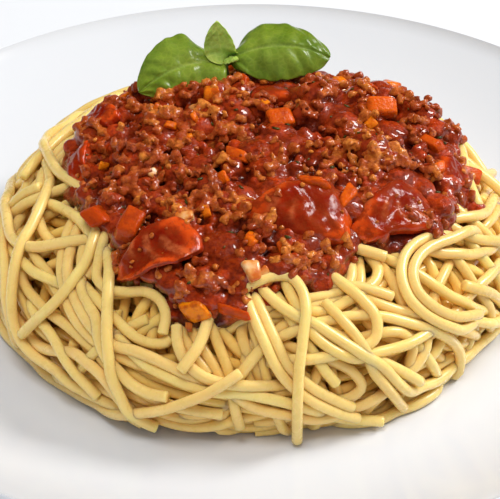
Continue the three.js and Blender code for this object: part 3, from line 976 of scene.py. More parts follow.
# Smaller nicks and drips of the same edge
SAUCE_NICKS = [
    (281, -4.0, 5), (291, 2.0, 5), (264, 1.5, 4), (240, 1.2, 5),
    (226, -1.5, 5), (314, -2.5, 9), (251, -2.6, 20), (237, -5.4, 8),
]
# Size of the grain that sauce and mince are melted at, and the most triangles of each piece
SAUCE_GRAIN = 0.55
SAUCE_TRIANGLES = 170000
MINCE_GRAIN = 0.42
CLUMP_TRIANGLES = 192000
CRUMB_TRIANGLES = 120000
# Small lumps all over the sauce, and along its rim
SMALL_LUMPS = 1100
RIM_LUMPS = 190
# Painted shade deep between the lumps, the sauce's red on top, and red over the brightest lumps
PAINTED_SHADE_SAUCE = np.array([0.06, 0.003, 0.001])
SAUCE_RED = np.array([0.24, 0.022, 0.002])
BRIGHT_SAUCE = np.array([0.47, 0.042, 0.004])


def nest_top(azimuth, radius, lift):
    """Height of the nest over a place inside its belly."""
    inward = np.maximum(radius / unevenness(azimuth) - NEST_NECK, 0)
    cosine = (inward / (NEST_RADIUS - NEST_NECK + lift)) ** 1.25
    sine = np.sqrt(np.maximum(1 - cosine ** 2, 0))
    return WELL_FLOOR + NEST_BELLY + (NEST_RISE + lift) * sine


def bay_sum(azimuth, bays):
    total = 0 * azimuth
    for middle, reach, width in bays:
        aside = (azimuth + 900 - middle) % 360 - 180
        total = total + reach * np.exp(-(aside / width) ** 2)
    return total


def sauce_edge(azimuth):
    turn = np.radians(azimuth)
    waves = 0.8 * np.sin(4 * turn + 1) + 0.8 * np.sin(9 * turn)
    return SAUCE_RADIUS + waves + bay_sum(azimuth, SAUCE_BAYS)


def ragged_edge(azimuth):
    turn = np.radians(azimuth)
    ripple = 0.7 * np.sin(17 * turn + 2) + 0.5 * np.sin(29 * turn)
    return sauce_edge(azimuth) + bay_sum(azimuth, SAUCE_NICKS) + ripple


def sauce_top(x, y):
    """Height of the sauce's cap, and the share of the way from its middle to its edge."""
    azimuth = np.degrees(np.arctan2(y, x))
    radius = np.hypot(x, y)
    share = radius / sauce_edge(azimuth)
    inside = np.minimum(share, 1)
    plump = SAUCE_CROWN_THICKNESS + (SAUCE_EDGE_THICKNESS - SAUCE_CROWN_THICKNESS) * inside ** 1.6
    rounding = np.sqrt(np.maximum(1 - (np.maximum(inside - 0.82, 0) / 0.19) ** 2, 0))
    swell = 1.3 * np.sin(x / 5.2 + 0.8) * np.sin(y / 6 + 1.9)
    rest = nest_top(azimuth, np.minimum(radius, CORE_REACH), -CORE_INSET)
    return rest + (plump + swell * rounding) * rounding, share


def sauce_height(x, y):
    """Height of the sauce's cap at one place."""
    return sauce_top(np.array([x]), np.array([y]))[0][0]


def on_sauce(u, v):
    """The place on the sauce that shows at a picture point, or None beside the sauce."""
    along = np.arange(NEAREST, FARTHEST, 0.3)
    points = view_eye + along[:, None] * sight(u, v)
    top, share = sauce_top(points[:, 0], points[:, 1])
    hits = np.nonzero((points[:, 2] < top) & (share < 1.03))[0]
    return points[hits[0]].copy() if len(hits) else None


def sauce_facing(x, y):
    """Which way the sauce's cap faces."""
    d = 1.5
    rise_x = (sauce_top(x + d, y)[0] - sauce_top(x - d, y)[0]) / (2 * d)
    rise_y = (sauce_top(x, y + d)[0] - sauce_top(x, y - d)[0]) / (2 * d)
    return unit(np.array([-np.clip(rise_x, -1.6, 1.6), -np.clip(rise_y, -1.6, 1.6), 1.0]))


def round_stone(finer):
    """Points and faces of a ball of radius 1."""
    deselect()
    bpy.ops.mesh.primitive_ico_sphere_add(subdivisions=finer, radius=1.0)
    points, faces = lift_shape(bpy.context.object)
    return points, np.array(faces)


def spiral_spots(count, reach, random, jitter):
    """Even places over the sauce."""
    k = np.arange(count)
    share = reach * np.sqrt((k + 0.5) / count)
    azimuth = np.degrees(k * GOLDEN_TURN) + random.normal(0, 3, count)
    spots = polar(azimuth, share * sauce_edge(azimuth), 0)
    spots[:, :2] += random.normal(0, jitter, (count, 2))
    return spots[:, :2]


class Heap(Parts):
    """Lumps that are melted into one piece. Each has a centre, a size and a tone."""

    def __init__(self, random, finer=2):
        super().__init__()
        self.random = random
        self.ball, self.ball_faces = round_stone(finer)
        self.centres = []
        self.sizes = []
        self.lump_tones = []

    def add_lump(self, centre, stretch, tone, roughness=0.12, waves=1.3):
        bend = self.random.normal(0, waves, (5, 3))
        phase = self.random.uniform(0, 2 * pi, 5)
        swell = 1 + roughness * np.sin(self.ball @ bend.T + phase).sum(axis=1) / 2.2
        self.points.append(self.ball * swell[:, None] * stretch + centre)
        self.faces.extend((self.ball_faces + self.count).tolist())
        self.count += len(self.ball)
        self.centres.append(centre)
        self.sizes.append(float(np.mean(stretch)))
        self.lump_tones.append(tone)

    def melt(self, name, material, voxel, most_faces, softening):
        """Joins the lumps in one skin at a size of grain, softened and thinned to so many faces."""
        piece = self.make(name, material)
        blend = piece.modifiers.new("melt", "REMESH")
        blend.mode = "VOXEL"
        blend.voxel_size = voxel * MM
        blend.use_smooth_shade = True
        soften = piece.modifiers.new("soften", "SMOOTH")
        soften.factor = 0.35
        soften.iterations = softening
        apply_modifiers(piece)
        triangles = sum(len(p.vertices) - 2 for p in piece.data.polygons)
        thin = piece.modifiers.new("thin", "DECIMATE")
        thin.ratio = min(1.0, most_faces / triangles)
        apply_modifiers(piece)
        shade_smooth(piece)
        return piece

    def nearest(self, piece):
        """Each point's place, the tone of the lump it belongs to, and how far off that lump is."""
        places = np.empty(len(piece.data.vertices) * 3)
        piece.data.vertices.foreach_get("co", places)
        places = places.reshape(-1, 3) / MM
        tree = kdtree.KDTree(len(self.centres))
        for n, centre in enumerate(self.centres):
            tree.insert(Vector(centre), n)
        tree.balance()
        sizes = self.sizes
        owners, rooms = np.zeros(len(places), int), np.zeros(len(places))
        for n, place in enumerate(places.tolist()):
            rooms[n], owners[n] = min((d - sizes[k], k) for _, k, d in tree.find_n(place, 3))
        return places, np.array(self.lump_tones)[owners], rooms


# Clumps of mince that show in the picture: picture point, and how wide
SHOWN_CLUMPS = [
    (160, 124, 6.6), (184, 120, 5.6), (132, 148, 5.8), (152, 160, 5.0), (186, 140, 4.6), (172, 170, 4.4),
    (122, 180, 4.6), (142, 182, 4.6), (110, 198, 3.8), (152, 198, 4.4), (178, 205, 4.2), (204, 178, 4.2),
    (205, 200, 4.2), (186, 218, 3.4), (262, 224, 3.4), (250, 246, 3.0), (282, 262, 2.6), (318, 262, 2.6),
    (344, 250, 2.6), (200, 272, 4.2), (186, 286, 4.0), (212, 284, 3.4), (240, 285, 3.2), (320, 152, 5.0),
    (342, 152, 4.8), (368, 150, 7.4), (388, 158, 5.6), (374, 168, 4.6), (402, 162, 4.0), (314, 100, 5.0),
    (302, 112, 4.4), (345, 130, 4.4), (360, 100, 4.2), (345, 78, 4.2), (316, 68, 4.2), (292, 72, 4.0),
    (405, 100, 4.4), (430, 96, 4.2), (440, 112, 4.2), (418, 130, 4.6), (448, 130, 4.0), (432, 168, 4.4),
    (462, 170, 4.0), (464, 188, 3.8), (450, 205, 3.8), (118, 112, 4.2), (100, 142, 4.2), (88, 168, 4.0),
    (84, 192, 3.6), (222, 130, 4.2), (240, 128, 4.0), (212, 112, 4.0), (262, 108, 4.0), (280, 148, 4.0),
    (230, 162, 4.0), (262, 165, 4.2), (284, 200, 3.6), (300, 270, 3.4), (164, 264, 3.2), (232, 215, 3.2),
    (214, 92, 3.8), (188, 96, 3.8), (246, 206, 3.8), (222, 198, 3.6), (326, 172, 3.8), (470, 150, 3.6),
]

# Smooth soft lumps under the mince: picture point, how wide, and how red
SHOWN_LUMPS = [
    (222, 238, 9.0, 0.15), (238, 262, 8.0, 0.1), (128, 160, 6.0, 0.7), (150, 135, 6.5, 0.8),
    (110, 220, 6.0, 0.7), (126, 232, 5.5, 0.7), (100, 215, 5.0, 0.8), (85, 158, 5.0, 0.6),
    (335, 115, 8.0, 0.45), (278, 125, 6.0, 0.7), (256, 145, 6.5, 0.55), (268, 158, 5.5, 0.6),
    (225, 100, 6.5, 0.35), (240, 108, 6.0, 0.4), (320, 85, 6.0, 0.4), (385, 92, 5.5, 0.5),
    (400, 178, 6.0, 0.7), (440, 145, 5.5, 0.95), (450, 158, 5.0, 0.9), (240, 190, 6.0, 0.45),
    (275, 190, 6.0, 0.8), (296, 232, 8.5, 0.55), (276, 182, 5.5, 0.95), (348, 200, 7.0, 0.85),
    (346, 232, 7.0, 0.6), (280, 262, 6.0, 0.5), (218, 300, 5.5, 0.75), (236, 308, 5.5, 0.85),
    (196, 300, 4.5, 0.5), (172, 278, 5.5, 0.6), (150, 268, 5.0, 0.7), (448, 212, 5.0, 0.7),
    (205, 128, 5.0, 0.5), (245, 88, 5.0, 0.6), (298, 140, 6.0, 0.35), (200, 158, 5.0, 0.4),
    (330, 262, 5.0, 0.6), (306, 274, 4.5, 0.6), (376, 192, 5.5, 0.7), (420, 184, 5.0, 0.6),
]


def mound_axes(normal):
    side = unit(np.cross(normal, [0.3, 1.0, 0.2]))
    return np.stack([side, np.cross(normal, side), normal])


def back_rise(x, y):
    """How much higher the heap stands towards the back, most of all on its right."""
    return (2.2 + 1.4 * smoothstep(x / 14)) * smoothstep((y - 6) / 12) * smoothstep((30 - y) / 6)


def mince_mounds(random):
    """Where the clumps of mince stand: those in the picture, and even ones where it doesn't see."""
    mounds = []
    for u, v, wide in SHOWN_CLUMPS:
        place = on_sauce(u, v)
        if place is not None:
            rise = back_rise(place[0], place[1])
            place[2] += rise + 0.8 * max(0, wide - 5)
            mounds.append((place, wide + 0.2 * rise))
    for x, y in spiral_spots(170, 0.96, random, 1.5):
        apart = min(np.hypot(place[0] - x, place[1] - y) - wide for place, wide in mounds)
        unseen = y > 8 or x < -42 or x > 46
        if apart > (2.8 if unseen else 5.5):
            height = sauce_height(x, y) + back_rise(x, y)
            mounds.append((np.array([x, y, height]), random.uniform(3.4, 5.2)))
    return mounds


def sauce_bed():
    """Points and faces of a closed, uneven cap a little below the mince."""
    sectors, rings = 120, 30
    azimuths = np.arange(sectors) * 360 / sectors
    rows = []
    for share in np.concatenate([np.linspace(0.06, 0.92, rings - 4), [0.955, 0.98, 0.995, 1.0]]):
        smooth = polar(azimuths, share * sauce_edge(azimuths), 0)
        top, _ = sauce_top(smooth[:, 0], smooth[:, 1])
        reach = sauce_edge(azimuths) * (1 - share) + ragged_edge(azimuths) * share
        flat = polar(azimuths, share * reach, 0)
        x, y = flat[:, 0], flat[:, 1]
        lump = np.sin(x / 2.9 + y / 7) * np.sin(y / 3.1 - x / 9 + 1)
        lump = lump + 0.6 * np.sin(x / 1.7 - 2) * np.sin(y / 1.9)
        flat[:, 2] = top - 2.8 * min(1, (1.02 - share) * 8) + 0.9 * lump
        rows.append(flat)
    for share, drop in ((0.97, 3.0), (0.6, 4.0), (0.1, 4.0)):
        flat = polar(azimuths, share * ragged_edge(azimuths), 0)
        radius = np.minimum(np.hypot(flat[:, 0], flat[:, 1]), CORE_REACH)
        flat[:, 2] = nest_top(azimuths, radius, -CORE_INSET) - drop
        rows.append(flat)
    middle_top = np.array([[0, 0, sauce_height(0.0, 0.0) - 2.6]])
    middle_low = np.array([[0, 0, WELL_FLOOR + NEST_BELLY + NEST_RISE - 6]])
    bed = np.vstack([middle_top] + rows + [middle_low])
    faces = [[0, 1 + k, 1 + (k + 1) % sectors] for k in range(sectors)]
    for r in range(len(rows) - 1):
        a, b = 1 + r * sectors, 1 + (r + 1) * sectors
        faces += [[a + k, b + k, b + (k + 1) % sectors, a + (k + 1) % sectors] for k in range(sectors)]
    a, end = 1 + (len(rows) - 1) * sectors, len(bed) - 1
    faces += [[a + k, end, a + (k + 1) % sectors] for k in range(sectors)]
    return bed, faces


def heap_sauce(heap, mounds):
    """Lumps under the mince, soft lumps between, small ones all over, and drips along the rim."""
    random = heap.random
    for place, wide in mounds:
        normal = sauce_facing(place[0], place[1])
        heart = place - normal * wide * 0.5
        heap.add_lump(heart, wide * np.array([0.9, 0.9, 0.76]), random.uniform(0.2, 0.6), 0.16)
    for u, v, wide, red in SHOWN_LUMPS:
        place = on_sauce(u, v)
        if place is not None:
            normal = sauce_facing(place[0], place[1])
            heap.add_lump(place - normal * wide * 0.5, wide * np.array([0.95, 0.85, 0.6]), red, 0.16)
    for x, y in spiral_spots(90, 0.96, random, 2.0):
        if y > 6 or x < -44 or x > 46:
            wide = random.uniform(3.2, 6.0)
            centre = np.array([x, y, sauce_height(x, y) - wide * 0.4])
            heap.add_lump(centre, wide * np.array([0.95, 0.85, 0.65]), random.uniform(0.2, 0.95), 0.16)
    for x, y in spiral_spots(SMALL_LUMPS, 1.0, random, 1.2):
        if np.hypot(x, y) > 0.97 * ragged_edge(np.degrees(np.arctan2(y, x))):
            continue
        size = random.uniform(0.6, 1.7)
        centre = np.array([x, y, sauce_height(x, y) - random.uniform(0.8, 3.0)])
        heap.add_lump(centre, size * random.uniform(0.8, 1.3, 3), random.uniform(0.1, 0.9))
    for k in range(RIM_LUMPS):
        azimuth = 360 * (k + random.uniform(-0.3, 0.3)) / RIM_LUMPS
        reach = random.uniform(0.92, 0.97) * float(ragged_edge(azimuth))
        size = random.uniform(0.7, 2.1)
        spot = polar(azimuth, reach, 0)
        spot[2] = nest_top(azimuth, min(CORE_REACH, reach), -CORE_INSET) + random.uniform(0.4, 3.0)
        heap.add_lump(spot, size * random.uniform(0.8, 1.25, 3), random.uniform(0.2, 0.95))


def make_sauce(material, mounds):
    """The red sauce, painted darker as shade where it lies low between the lumps, and redder over its own
    lumps, most where they stand high.
    """
    heap = Heap(np.random.default_rng(5))
    heap.add(*sauce_bed())
    heap_sauce(heap, mounds)
    sauce = heap.melt("bolognese_sauce_chunks", material, SAUCE_GRAIN, SAUCE_TRIANGLES, 2)
    places, red, rooms = heap.nearest(sauce)
    top, _ = sauce_top(places[:, 0], places[:, 1])
    # Painted shade: the lower a point lies under the cap, the darker it is painted
    high = smoothstep((places[:, 2] - top + 3.6) / 4.2)[:, None]
    own = (1 - smoothstep(np.maximum(rooms, 0) / 1.4))[:, None] * red[:, None]
    colours = between(PAINTED_SHADE_SAUCE, SAUCE_RED, high)
    paint(sauce, between(colours, BRIGHT_SAUCE, own * (0.25 + 0.75 * high)))
    return sauce


# Sizes of crumbs in a clump, and how many of the crumbs are of each size
CRUMB_SIZES = [0.95, 1.3, 1.65, 2.0]
CRUMB_SHARES = [0.3, 0.32, 0.26, 0.12]
MEAT_GOLDEN = np.array([0.72, 0.215, 0.024])
MEAT_TAN = np.array([0.51, 0.098, 0.010])
MEAT_BROWN = np.array([0.29, 0.038, 0.005])
MEAT_SAUCED = np.array([0.22, 0.022, 0.002])


def add_crumb(heap, centre, size, hue):
    """One crumb of meat: a rough lump with small grains on it. Hue runs from brown to golden."""
    random = heap.random
    other = MEAT_GOLDEN if hue > 0 else MEAT_BROWN
    tone = between(MEAT_TAN, other, min(1.0, abs(hue)))
    for share in (0.82, 0.66):
        offset = random.normal(0, 0.22, 3) * size
        heap.add_lump(centre + offset, size * share * random.uniform(0.8, 1.2, 3), tone, 0.26, 1.6)
    for k in range(5 if size > 1.2 else 3):
        ray = random.normal(0, 1, 3)
        ray *= size * random.uniform(0.6, 0.85) / np.linalg.norm(ray)
        grain = size * random.uniform(0.26, 0.42)
        stretch = grain * random.uniform(0.8, 1.25, 3)
        heap.add_lump(centre + ray, stretch, tone * random.uniform(0.85, 1.25), 0.2)


def tone_crumbs(heap, crumbs):
    """Gives each crumb its colour, redder where it sits low in the sauce."""
    places, tones, _ = heap.nearest(crumbs)
    top, _ = sauce_top(places[:, 0], places[:, 1])
    high = smoothstep((places[:, 2] - top + 2.6) / 4.0)[:, None]
    paint(crumbs, between(MEAT_SAUCED, tones, 0.25 + 0.75 * high))


def make_mince(material, mounds):
    """Clumps of mince: each is a dome of crumbs, of much the same colour."""
    random = np.random.default_rng(17)
    heap = Heap(random, 1)
    for place, wide in mounds:
        normal = sauce_facing(place[0], place[1])
        axes = mound_axes(normal)
        heart = place - normal * wide * 0.45
        hue = random.uniform(-0.5, 0.8)
        count = int(wide * wide * 0.62)
        for k in range(count):
            tilt = np.sqrt((k + 0.5) / count) * 1.35 + random.normal(0, 0.1)
            spin = k * GOLDEN_TURN + random.normal(0, 0.35)
            ray = axes[0] * sin(tilt) * cos(spin) + axes[1] * sin(tilt) * sin(spin)
            ray = ray + axes[2] * cos(tilt) * 0.82
            size = random.choice(CRUMB_SIZES, p=CRUMB_SHARES)
            crumb = heart + ray * wide * random.uniform(0.86, 1.1)
            add_crumb(heap, crumb, size, np.clip(hue + random.normal(0, 0.45), -1, 1))
    mince = heap.melt("mince_clumps", material, MINCE_GRAIN, CLUMP_TRIANGLES, 1)
    tone_crumbs(heap, mince)
    return mince


# Single crumbs that show in the picture: picture point, how big, and how golden
SHOWN_CRUMBS = [
    (253, 240, 2.5, 0.6), (266, 219, 2.0, 0.7), (272, 214, 2.1, 1.0), (268, 226, 1.8, 0.6),
    (286, 244, 2.3, 0.9), (286, 258, 2.4, 0.5), (300, 250, 2.3, 1.0), (312, 257, 2.3, 0.9),
    (318, 254, 1.5, 0.8), (307, 235, 1.9, 0.5), (312, 233, 1.1, 0.7), (324, 244, 2.1, 0.7),
    (344, 236, 1.8, 1.0), (334, 262, 2.2, 0.4), (348, 246, 2.0, 0.6), (332, 252, 1.4, 0.8),
    (278, 194, 1.7, 0.1), (268, 198, 1.3, 0.2), (370, 198, 1.6, 0.5), (346, 173, 1.2, 1.0),
    (353, 176, 1.3, 0.9), (359, 182, 1.2, 1.0), (240, 252, 1.6, 0.5), (282, 228, 1.2, 0.6),
    (262, 248, 1.5, 0.4), (276, 250, 1.3, 0.7), (296, 262, 1.5, 0.6), (322, 264, 1.3, 0.5),
    (304, 268, 1.2, 0.6), (246, 230, 1.5, 0.5), (303, 186, 1.1, 0.8), (298, 178, 1.0, 0.9),
    (308, 176, 1.2, 0.9), (342, 212, 0.9, 0.3), (376, 222, 1.0, 0.2), (396, 196, 0.9, 0.4),
    (420, 204, 0.8, 0.9), (414, 198, 0.7, 1.0), (424, 212, 0.7, 0.8), (406, 206, 0.6, 1.0),
    (412, 222, 0.7, 0.7), (428, 226, 1.1, 0.5), (140, 250, 0.9, 0.3), (152, 236, 1.0, 0.4),
    (166, 228, 0.8, 0.2), (188, 222, 1.2, 0.8), (132, 262, 0.9, 0.5), (206, 240, 1.2, 0.6),
    (182, 212, 2.0, 0.9), (190, 216, 1.8, 0.7), (262, 180, 1.6, 0.5), (238, 216, 1.7, 0.7),
    (118, 128, 2.0, 0.8), (150, 142, 2.2, 0.7), (146, 158, 2.0, 0.9),
]


def make_loose_crumbs(material, skins):
    """Single crumbs of meat between the clumps and on the tomatoes."""
    random = np.random.default_rng(23)
    heap = Heap(random, 1)
    for u, v, size, hue in SHOWN_CRUMBS:
        place, normal = seen_first(skins, u, v)
        if place is not None:
            add_crumb(heap, place + normal * size * 0.1, size * 0.85, hue)
    for x, y in spiral_spots(900, 0.99, random, 1.4):
        z, share = sauce_top(np.array([x]), np.array([y]))
        if share[0] > 1.01 or random.uniform() < 0.25:
            continue
        size = random.uniform(0.6, 1.5)
        crumb = np.array([x, y, z[0] - random.uniform(0.6, 2.6)])
        add_crumb(heap, crumb, size, random.uniform(-1, 1))
    crumbs = heap.melt("mince_crumbs", material, MINCE_GRAIN, CRUMB_TRIANGLES, 1)
    tone_crumbs(heap, crumbs)
    return crumbs


# Pieces that lie in the sauce

def surface_tree(piece):
    """The outside of a piece, in millimetres, to set things down on."""
    points = [v.co / MM for v in piece.data.vertices]
    faces = [p.vertices[:] for p in piece.data.polygons]
    return bvhtree.BVHTree.FromPolygons(points, faces)


def first_hit(tree, start, way):
    """Where a line first meets a surface, and the way the surface faces there."""
    place, normal, _, _ = tree.ray_cast(Vector(start), Vector(way))
    return (None, None) if place is None else (np.array(place), np.array(normal))


def seen_at(tree, u, v):
    """The place on a surface that shows at a picture point, and the way it faces."""
    return first_hit(tree, view_eye, sight(u, v))


def seen_first(trees, u, v):
    """The same on whichever of several surfaces hides the others there."""
    found = [seen_at(tree, u, v) for tree in trees]
    found = [spot for spot in found if spot[0] is not None]
    return max(found, key=lambda spot: spot[0] @ view_back) if found else (None, None)


def seen_above(tree, x, y):
    """The place on a surface straight below a point over the dish, and the way it faces."""
    return first_hit(tree, (x, y, 200), (0, 0, -1))


def resting_turn(normal, tilt, spin):
    """Turns +Z to a normal, after a spin about it and a tilt."""
    facing = Vector((0, 0, 1)).rotation_difference(Vector(normal)).to_matrix()
    turn = Matrix.Rotation(radians(tilt), 3, "X") @ Matrix.Rotation(radians(spin), 3, "Z")
    return np.array(facing @ turn)


def cut_dice():
    """Points and faces of one die with soft worn edges, 1 wide."""
    deselect()
    bpy.ops.mesh.primitive_cube_add(size=1.0)
    die = bpy.context.object
    edges = die.modifiers.new("edges", "BEVEL")
    edges.width = 0.2
    edges.segments = 3
    apply_modifiers(die)
    return lift_shape(die)


# Carrot dice that show in the picture: picture point, their three sides, spin, tilt, how yellow
SHOWN_CARROTS = [
    (222, 178, 4.6, 3.6, 4.4, 10, 20, 0.55), (239, 156, 5.0, 4.4, 4.2, -20, 10, 0.45),
    (194, 310, 7.0, 5.8, 6.2, 28, 24, 0.95), (382, 108, 7.4, 5.0, 4.6, 24, 14, 0.5),
    (370, 124, 3.6, 3.2, 3.0, 40, 0, 0.7), (331, 68, 4.6, 3.6, 3.6, 10, 0, 0.4),
    (431, 145, 6.4, 3.2, 3.6, -42, 12, 0.35), (437, 170, 4.2, 3.4, 3.2, 30, 0, 0.5),
    (472, 174, 4.4, 3.4, 3.6, 15, 0, 0.35), (348, 196, 5.4, 4.2, 3.0, 55, 10, 0.45),
    (281, 118, 6.2, 5.4, 4.2, 8, 16, 0.3), (290, 72, 3.8, 6.0, 4.4, 0, 20, 0.4),
    (98, 214, 8.4, 7.2, 5.6, 22, 20, 0.16), (128, 227, 10.4, 8.4, 7.2, -22, 14, 0.14),
    (265, 104, 3.2, 2.8, 2.8, 30, 0, 0.75), (104, 166, 2.8, 2.6, 2.6, 10, 0, 0.75),
    (157, 111, 3.2, 3.4, 3.0, 35, 0, 0.6), (170, 126, 3.0, 2.8, 2.6, 0, 0, 0.7),
    (187, 136, 3.4, 3.0, 3.0, 20, 0, 0.8), (196, 118, 3.4, 3.2, 3.0, 50, 0, 0.6),
    (284, 250, 4.0, 4.2, 3.6, 20, 10, 0.4), (232, 312, 7.2, 5.4, 4.6, -18, 20, 0.2),
    (206, 213, 3.2, 3.0, 3.0, 10, 0, 0.7), (252, 240, 3.4, 3.0, 3.0, 60, 0, 0.6),
    (314, 182, 8.0, 4.0, 3.0, 4, 10, 0.4),
]


def make_carrots(material, skins):
    """Dice, each a little tapered, skewed and worn, on the sauce or on a tomato."""
    random = np.random.default_rng(9)
    die, die_faces = cut_dice()
    dice = Parts()

    def put(place, normal, sides, spin, tilt, yellow):
        taper = 1 + random.uniform(-0.28, 0.12, 2) * (die[:, 2:3] + 0.5)
        skew = random.normal(0, 0.19, (3, 3)) + np.eye(3)
        shape = np.column_stack([die[:, :2] * taper, die[:, 2]]) @ skew * np.array(sides)
        shape = shape + 0.3 * np.sin(shape @ random.normal(0, 0.9, (3, 3)) + random.uniform(0, 6, 3))
        centre = place + normal * sides[2] * random.uniform(-0.12, 0.06)
        dice.add(shape @ resting_turn(normal, tilt, spin).T + centre, die_faces)
        dice.tones.append([[yellow + random.normal(0, 0.05), random.uniform(), 0]] * len(shape))

    placed = []
    for u, v, length, width, height, spin, tilt, yellow in SHOWN_CARROTS:
        place, normal = seen_first(skins, u, v)
        if place is None:
            continue
        placed.append(place)
        normal = unit(normal + np.array([0.0, -0.25, 0.9]))
        put(place, normal, (length, width, height), spin, tilt, yellow)
    for x, y in spiral_spots(80, 0.95, random, 3.5):
        place, normal = seen_above(skins[0], x, y)
        close = [spot for spot in placed if np.hypot(*(spot - (x, y, 0))[:2]) < 9]
        seen = y < 14 and abs(x) < 44
        if place is None or close or seen or random.uniform() < 0.3:
            continue
        normal = unit(normal + np.array([0.0, 0.0, 0.8]))
        size = random.uniform(2.8, 5.8)
        sides = size * random.uniform(0.7, 1.0, 3)
        turn, tilt, yellow = random.uniform(0, 90), random.normal(0, 14), random.uniform(0.15, 0.8)
        put(place, normal, sides, turn, tilt, yellow)
    return dice.make("carrot_dice", material)


# Tomato chunks: azimuth, share of the way out, length, width, thickness, spin, tilt and sink, close
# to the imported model's, then how squared, hollowed and folded up at the front edge each one is
TOMATOES = {
    "tomato_front_left": (239.5, 0.86, 22.5, 12.5, 6, 14, 5, 0.4, 0.8, 2.6, 3.2),
    "tomato_front_right": (325, 0.83, 25, 15, 6.6, 41, 4, 0.4, 0.76, 1.3, 0.6),
    "tomato_middle": (292, 0.675, 26, 18.5, 11, 20, -4, 0.4, 0.8, 0.8, 0.0),
    "tomato_right": (356, 0.9, 12, 9, 5.6, 80, 6, 0.6, 0.6, 0.0, 0.8),
    "tomato_back": (80, 0.455, 12, 8.5, 5.6, 20, 0, 0.8, 0.66, 0.0, 0.0),
    "tomato_back_right": (62, 0.78, 15, 11, 6, 60, 6, 0.6, 0.6, 1.0, 1.0),
    "tomato_back_left": (160, 0.86, 13, 10, 5.6, 130, 4, 0.6, 0.55, 0.0, 1.2),
    "tomato_left": (182, 0.9, 12, 9, 5.2, 95, 8, 0.6, 0.6, 0.0, 1.0),
}
TOMATO_SKIN = np.array([0.23, 0.010, 0.0015])
TOMATO_FLESH = np.array([0.48, 0.034, 0.003])
TOMATO_RIBS = np.array([0.62, 0.17, 0.05])
TOMATO_FILM = np.array([0.2, 0.018, 0.004])
TOMATO_BRINK = np.array([0.72, 0.085, 0.008])


def make_tomato(name, facts, seed, material):
    """A torn piece of cooked tomato: a cushion of flesh with a thin, uneven, folded edge."""
    azimuth, share, length, width, thick, spin, tilt, sink, square, hollow, fold = facts
    random = np.random.default_rng(seed)
    deselect()
    bpy.ops.mesh.primitive_uv_sphere_add(segments=80, ring_count=44, radius=1.0)
    chunk = bpy.context.object
    chunk.name = name + "_chunk"
    chunk.data.name = chunk.name
    # A squared ball with an uneven outline, tapered, hollowed on top and folded up in front
    ball = np.array([v.co[:] for v in chunk.data.vertices])
    out = np.sign(ball) * np.abs(ball) ** square
    a, b, c = out[:, 0], out[:, 1], ball[:, 2]
    around = np.arctan2(ball[:, 1], ball[:, 0])
    edge = 1 + 0.07 * np.sin(2 * around + seed) + 0.06 * np.sin(3 * around + 2 * seed)
    edge += 0.035 * np.sin(7 * around + 3 * seed) + 0.015 * np.sin(17 * around + seed)
    lips = 1 - 0.13 * min(1, fold) * np.exp(-((c - 0.05) / 0.13) ** 2) * smoothstep((-b - 0.1) / 0.4)
    x = a * edge * length / 2
    taper = 0.22 + 0.1 * fold
    y = b * edge * lips * width / 2 * (1 + taper * a) + 0.6 * np.sin(x / 4 + seed)
    flat = np.sign(c) * np.abs(c) ** 0.8
    z = flat * thick / 2 * (1 + 0.25 * x / length) - 0.018 * x * x - 0.01 * x * y
    z -= hollow * np.exp(-(a ** 2 + b ** 2) * 2.2) * (c > 0) * np.abs(c) ** 0.5
    z += fold * smoothstep((-b - 0.25) / 0.75) ** 1.5
    # Ripples, dimples and ribs
    wave = random.normal(0, 0.32, (6, 2))
    phase = random.uniform(0, 2 * pi, 6)
    ripple = np.sin(np.stack([x, y], 1) @ wave.T + phase).sum(axis=1) / 6
    fine = random.normal(0, 1.3, (6, 3))
    dimple = np.sin(np.stack([x, y, z], 1) @ fine.T + phase).sum(axis=1) / 6
    ribs = np.sin(x * 1.1 + 2.2 * np.sin(y * 0.42 + seed) + np.sin(x * 0.35)) * hollow
    ribs = ribs * smoothstep(0.5 + 0.7 * np.sin(x * 0.31 + y * 0.45 + seed))
    relief = 1 + 0.12 * (thick - 6)
    z = z + (relief * (ripple + 0.42 * dimple) + 0.16 * ribs * (c > 0)) * (0.4 + 0.6 * np.abs(c))
    # Set down on the sauce, tipped outwards near its edge
    normal = unit(polar(azimuth, 1.0, 0) * (0.35 + 0.75 * share ** 3) + np.array([0, 0, 1.0]))
    east, north, _ = polar(azimuth, share * float(sauce_edge(azimuth)), 0)
    centre = np.array([east, north, sauce_height(east, north)]) - normal * sink
    local = np.stack([x, y, z], axis=1)
    points = local @ resting_turn(normal, tilt, spin).T + centre
    chunk.data.vertices.foreach_set("co", (points * MM).ravel())
    chunk.data.update()
    shade_smooth(chunk)
    chunk.data.materials.append(material)
    # Skin on top, flesh at the side, a film of sauce in the ripples and a bright edge
    side = smoothstep((0.75 - np.abs(c)) / 0.5) * smoothstep((-b + 0.3) / 0.8)
    ripe = np.clip(side + 0.35 * np.sin(x / 2.5 + y / 3 + seed), 0, 1)[:, None]
    tone = between(TOMATO_SKIN, TOMATO_FLESH, ripe)
    tone = between(tone, TOMATO_RIBS, (np.clip(ribs, 0, 1) * 0.5 * (c > 0))[:, None])
    tone = between(tone, TOMATO_FILM, (smoothstep((ripple + 0.1) / -0.4) * 0.6)[:, None])
    brink = smoothstep((np.hypot(a, b) - 0.6) / 0.3) * smoothstep(0.5 + 0.9 * np.sin(around * 2 + seed))
    crest = smoothstep((-b - 0.5) / 0.3) * smoothstep((c + 0.1) / 0.3) * min(1, fold / 3)
    brink = np.maximum(brink * smoothstep(c / 0.3), crest)
    paint(chunk, between(tone, TOMATO_BRINK, (0.75 * brink)[:, None]))
    return chunk


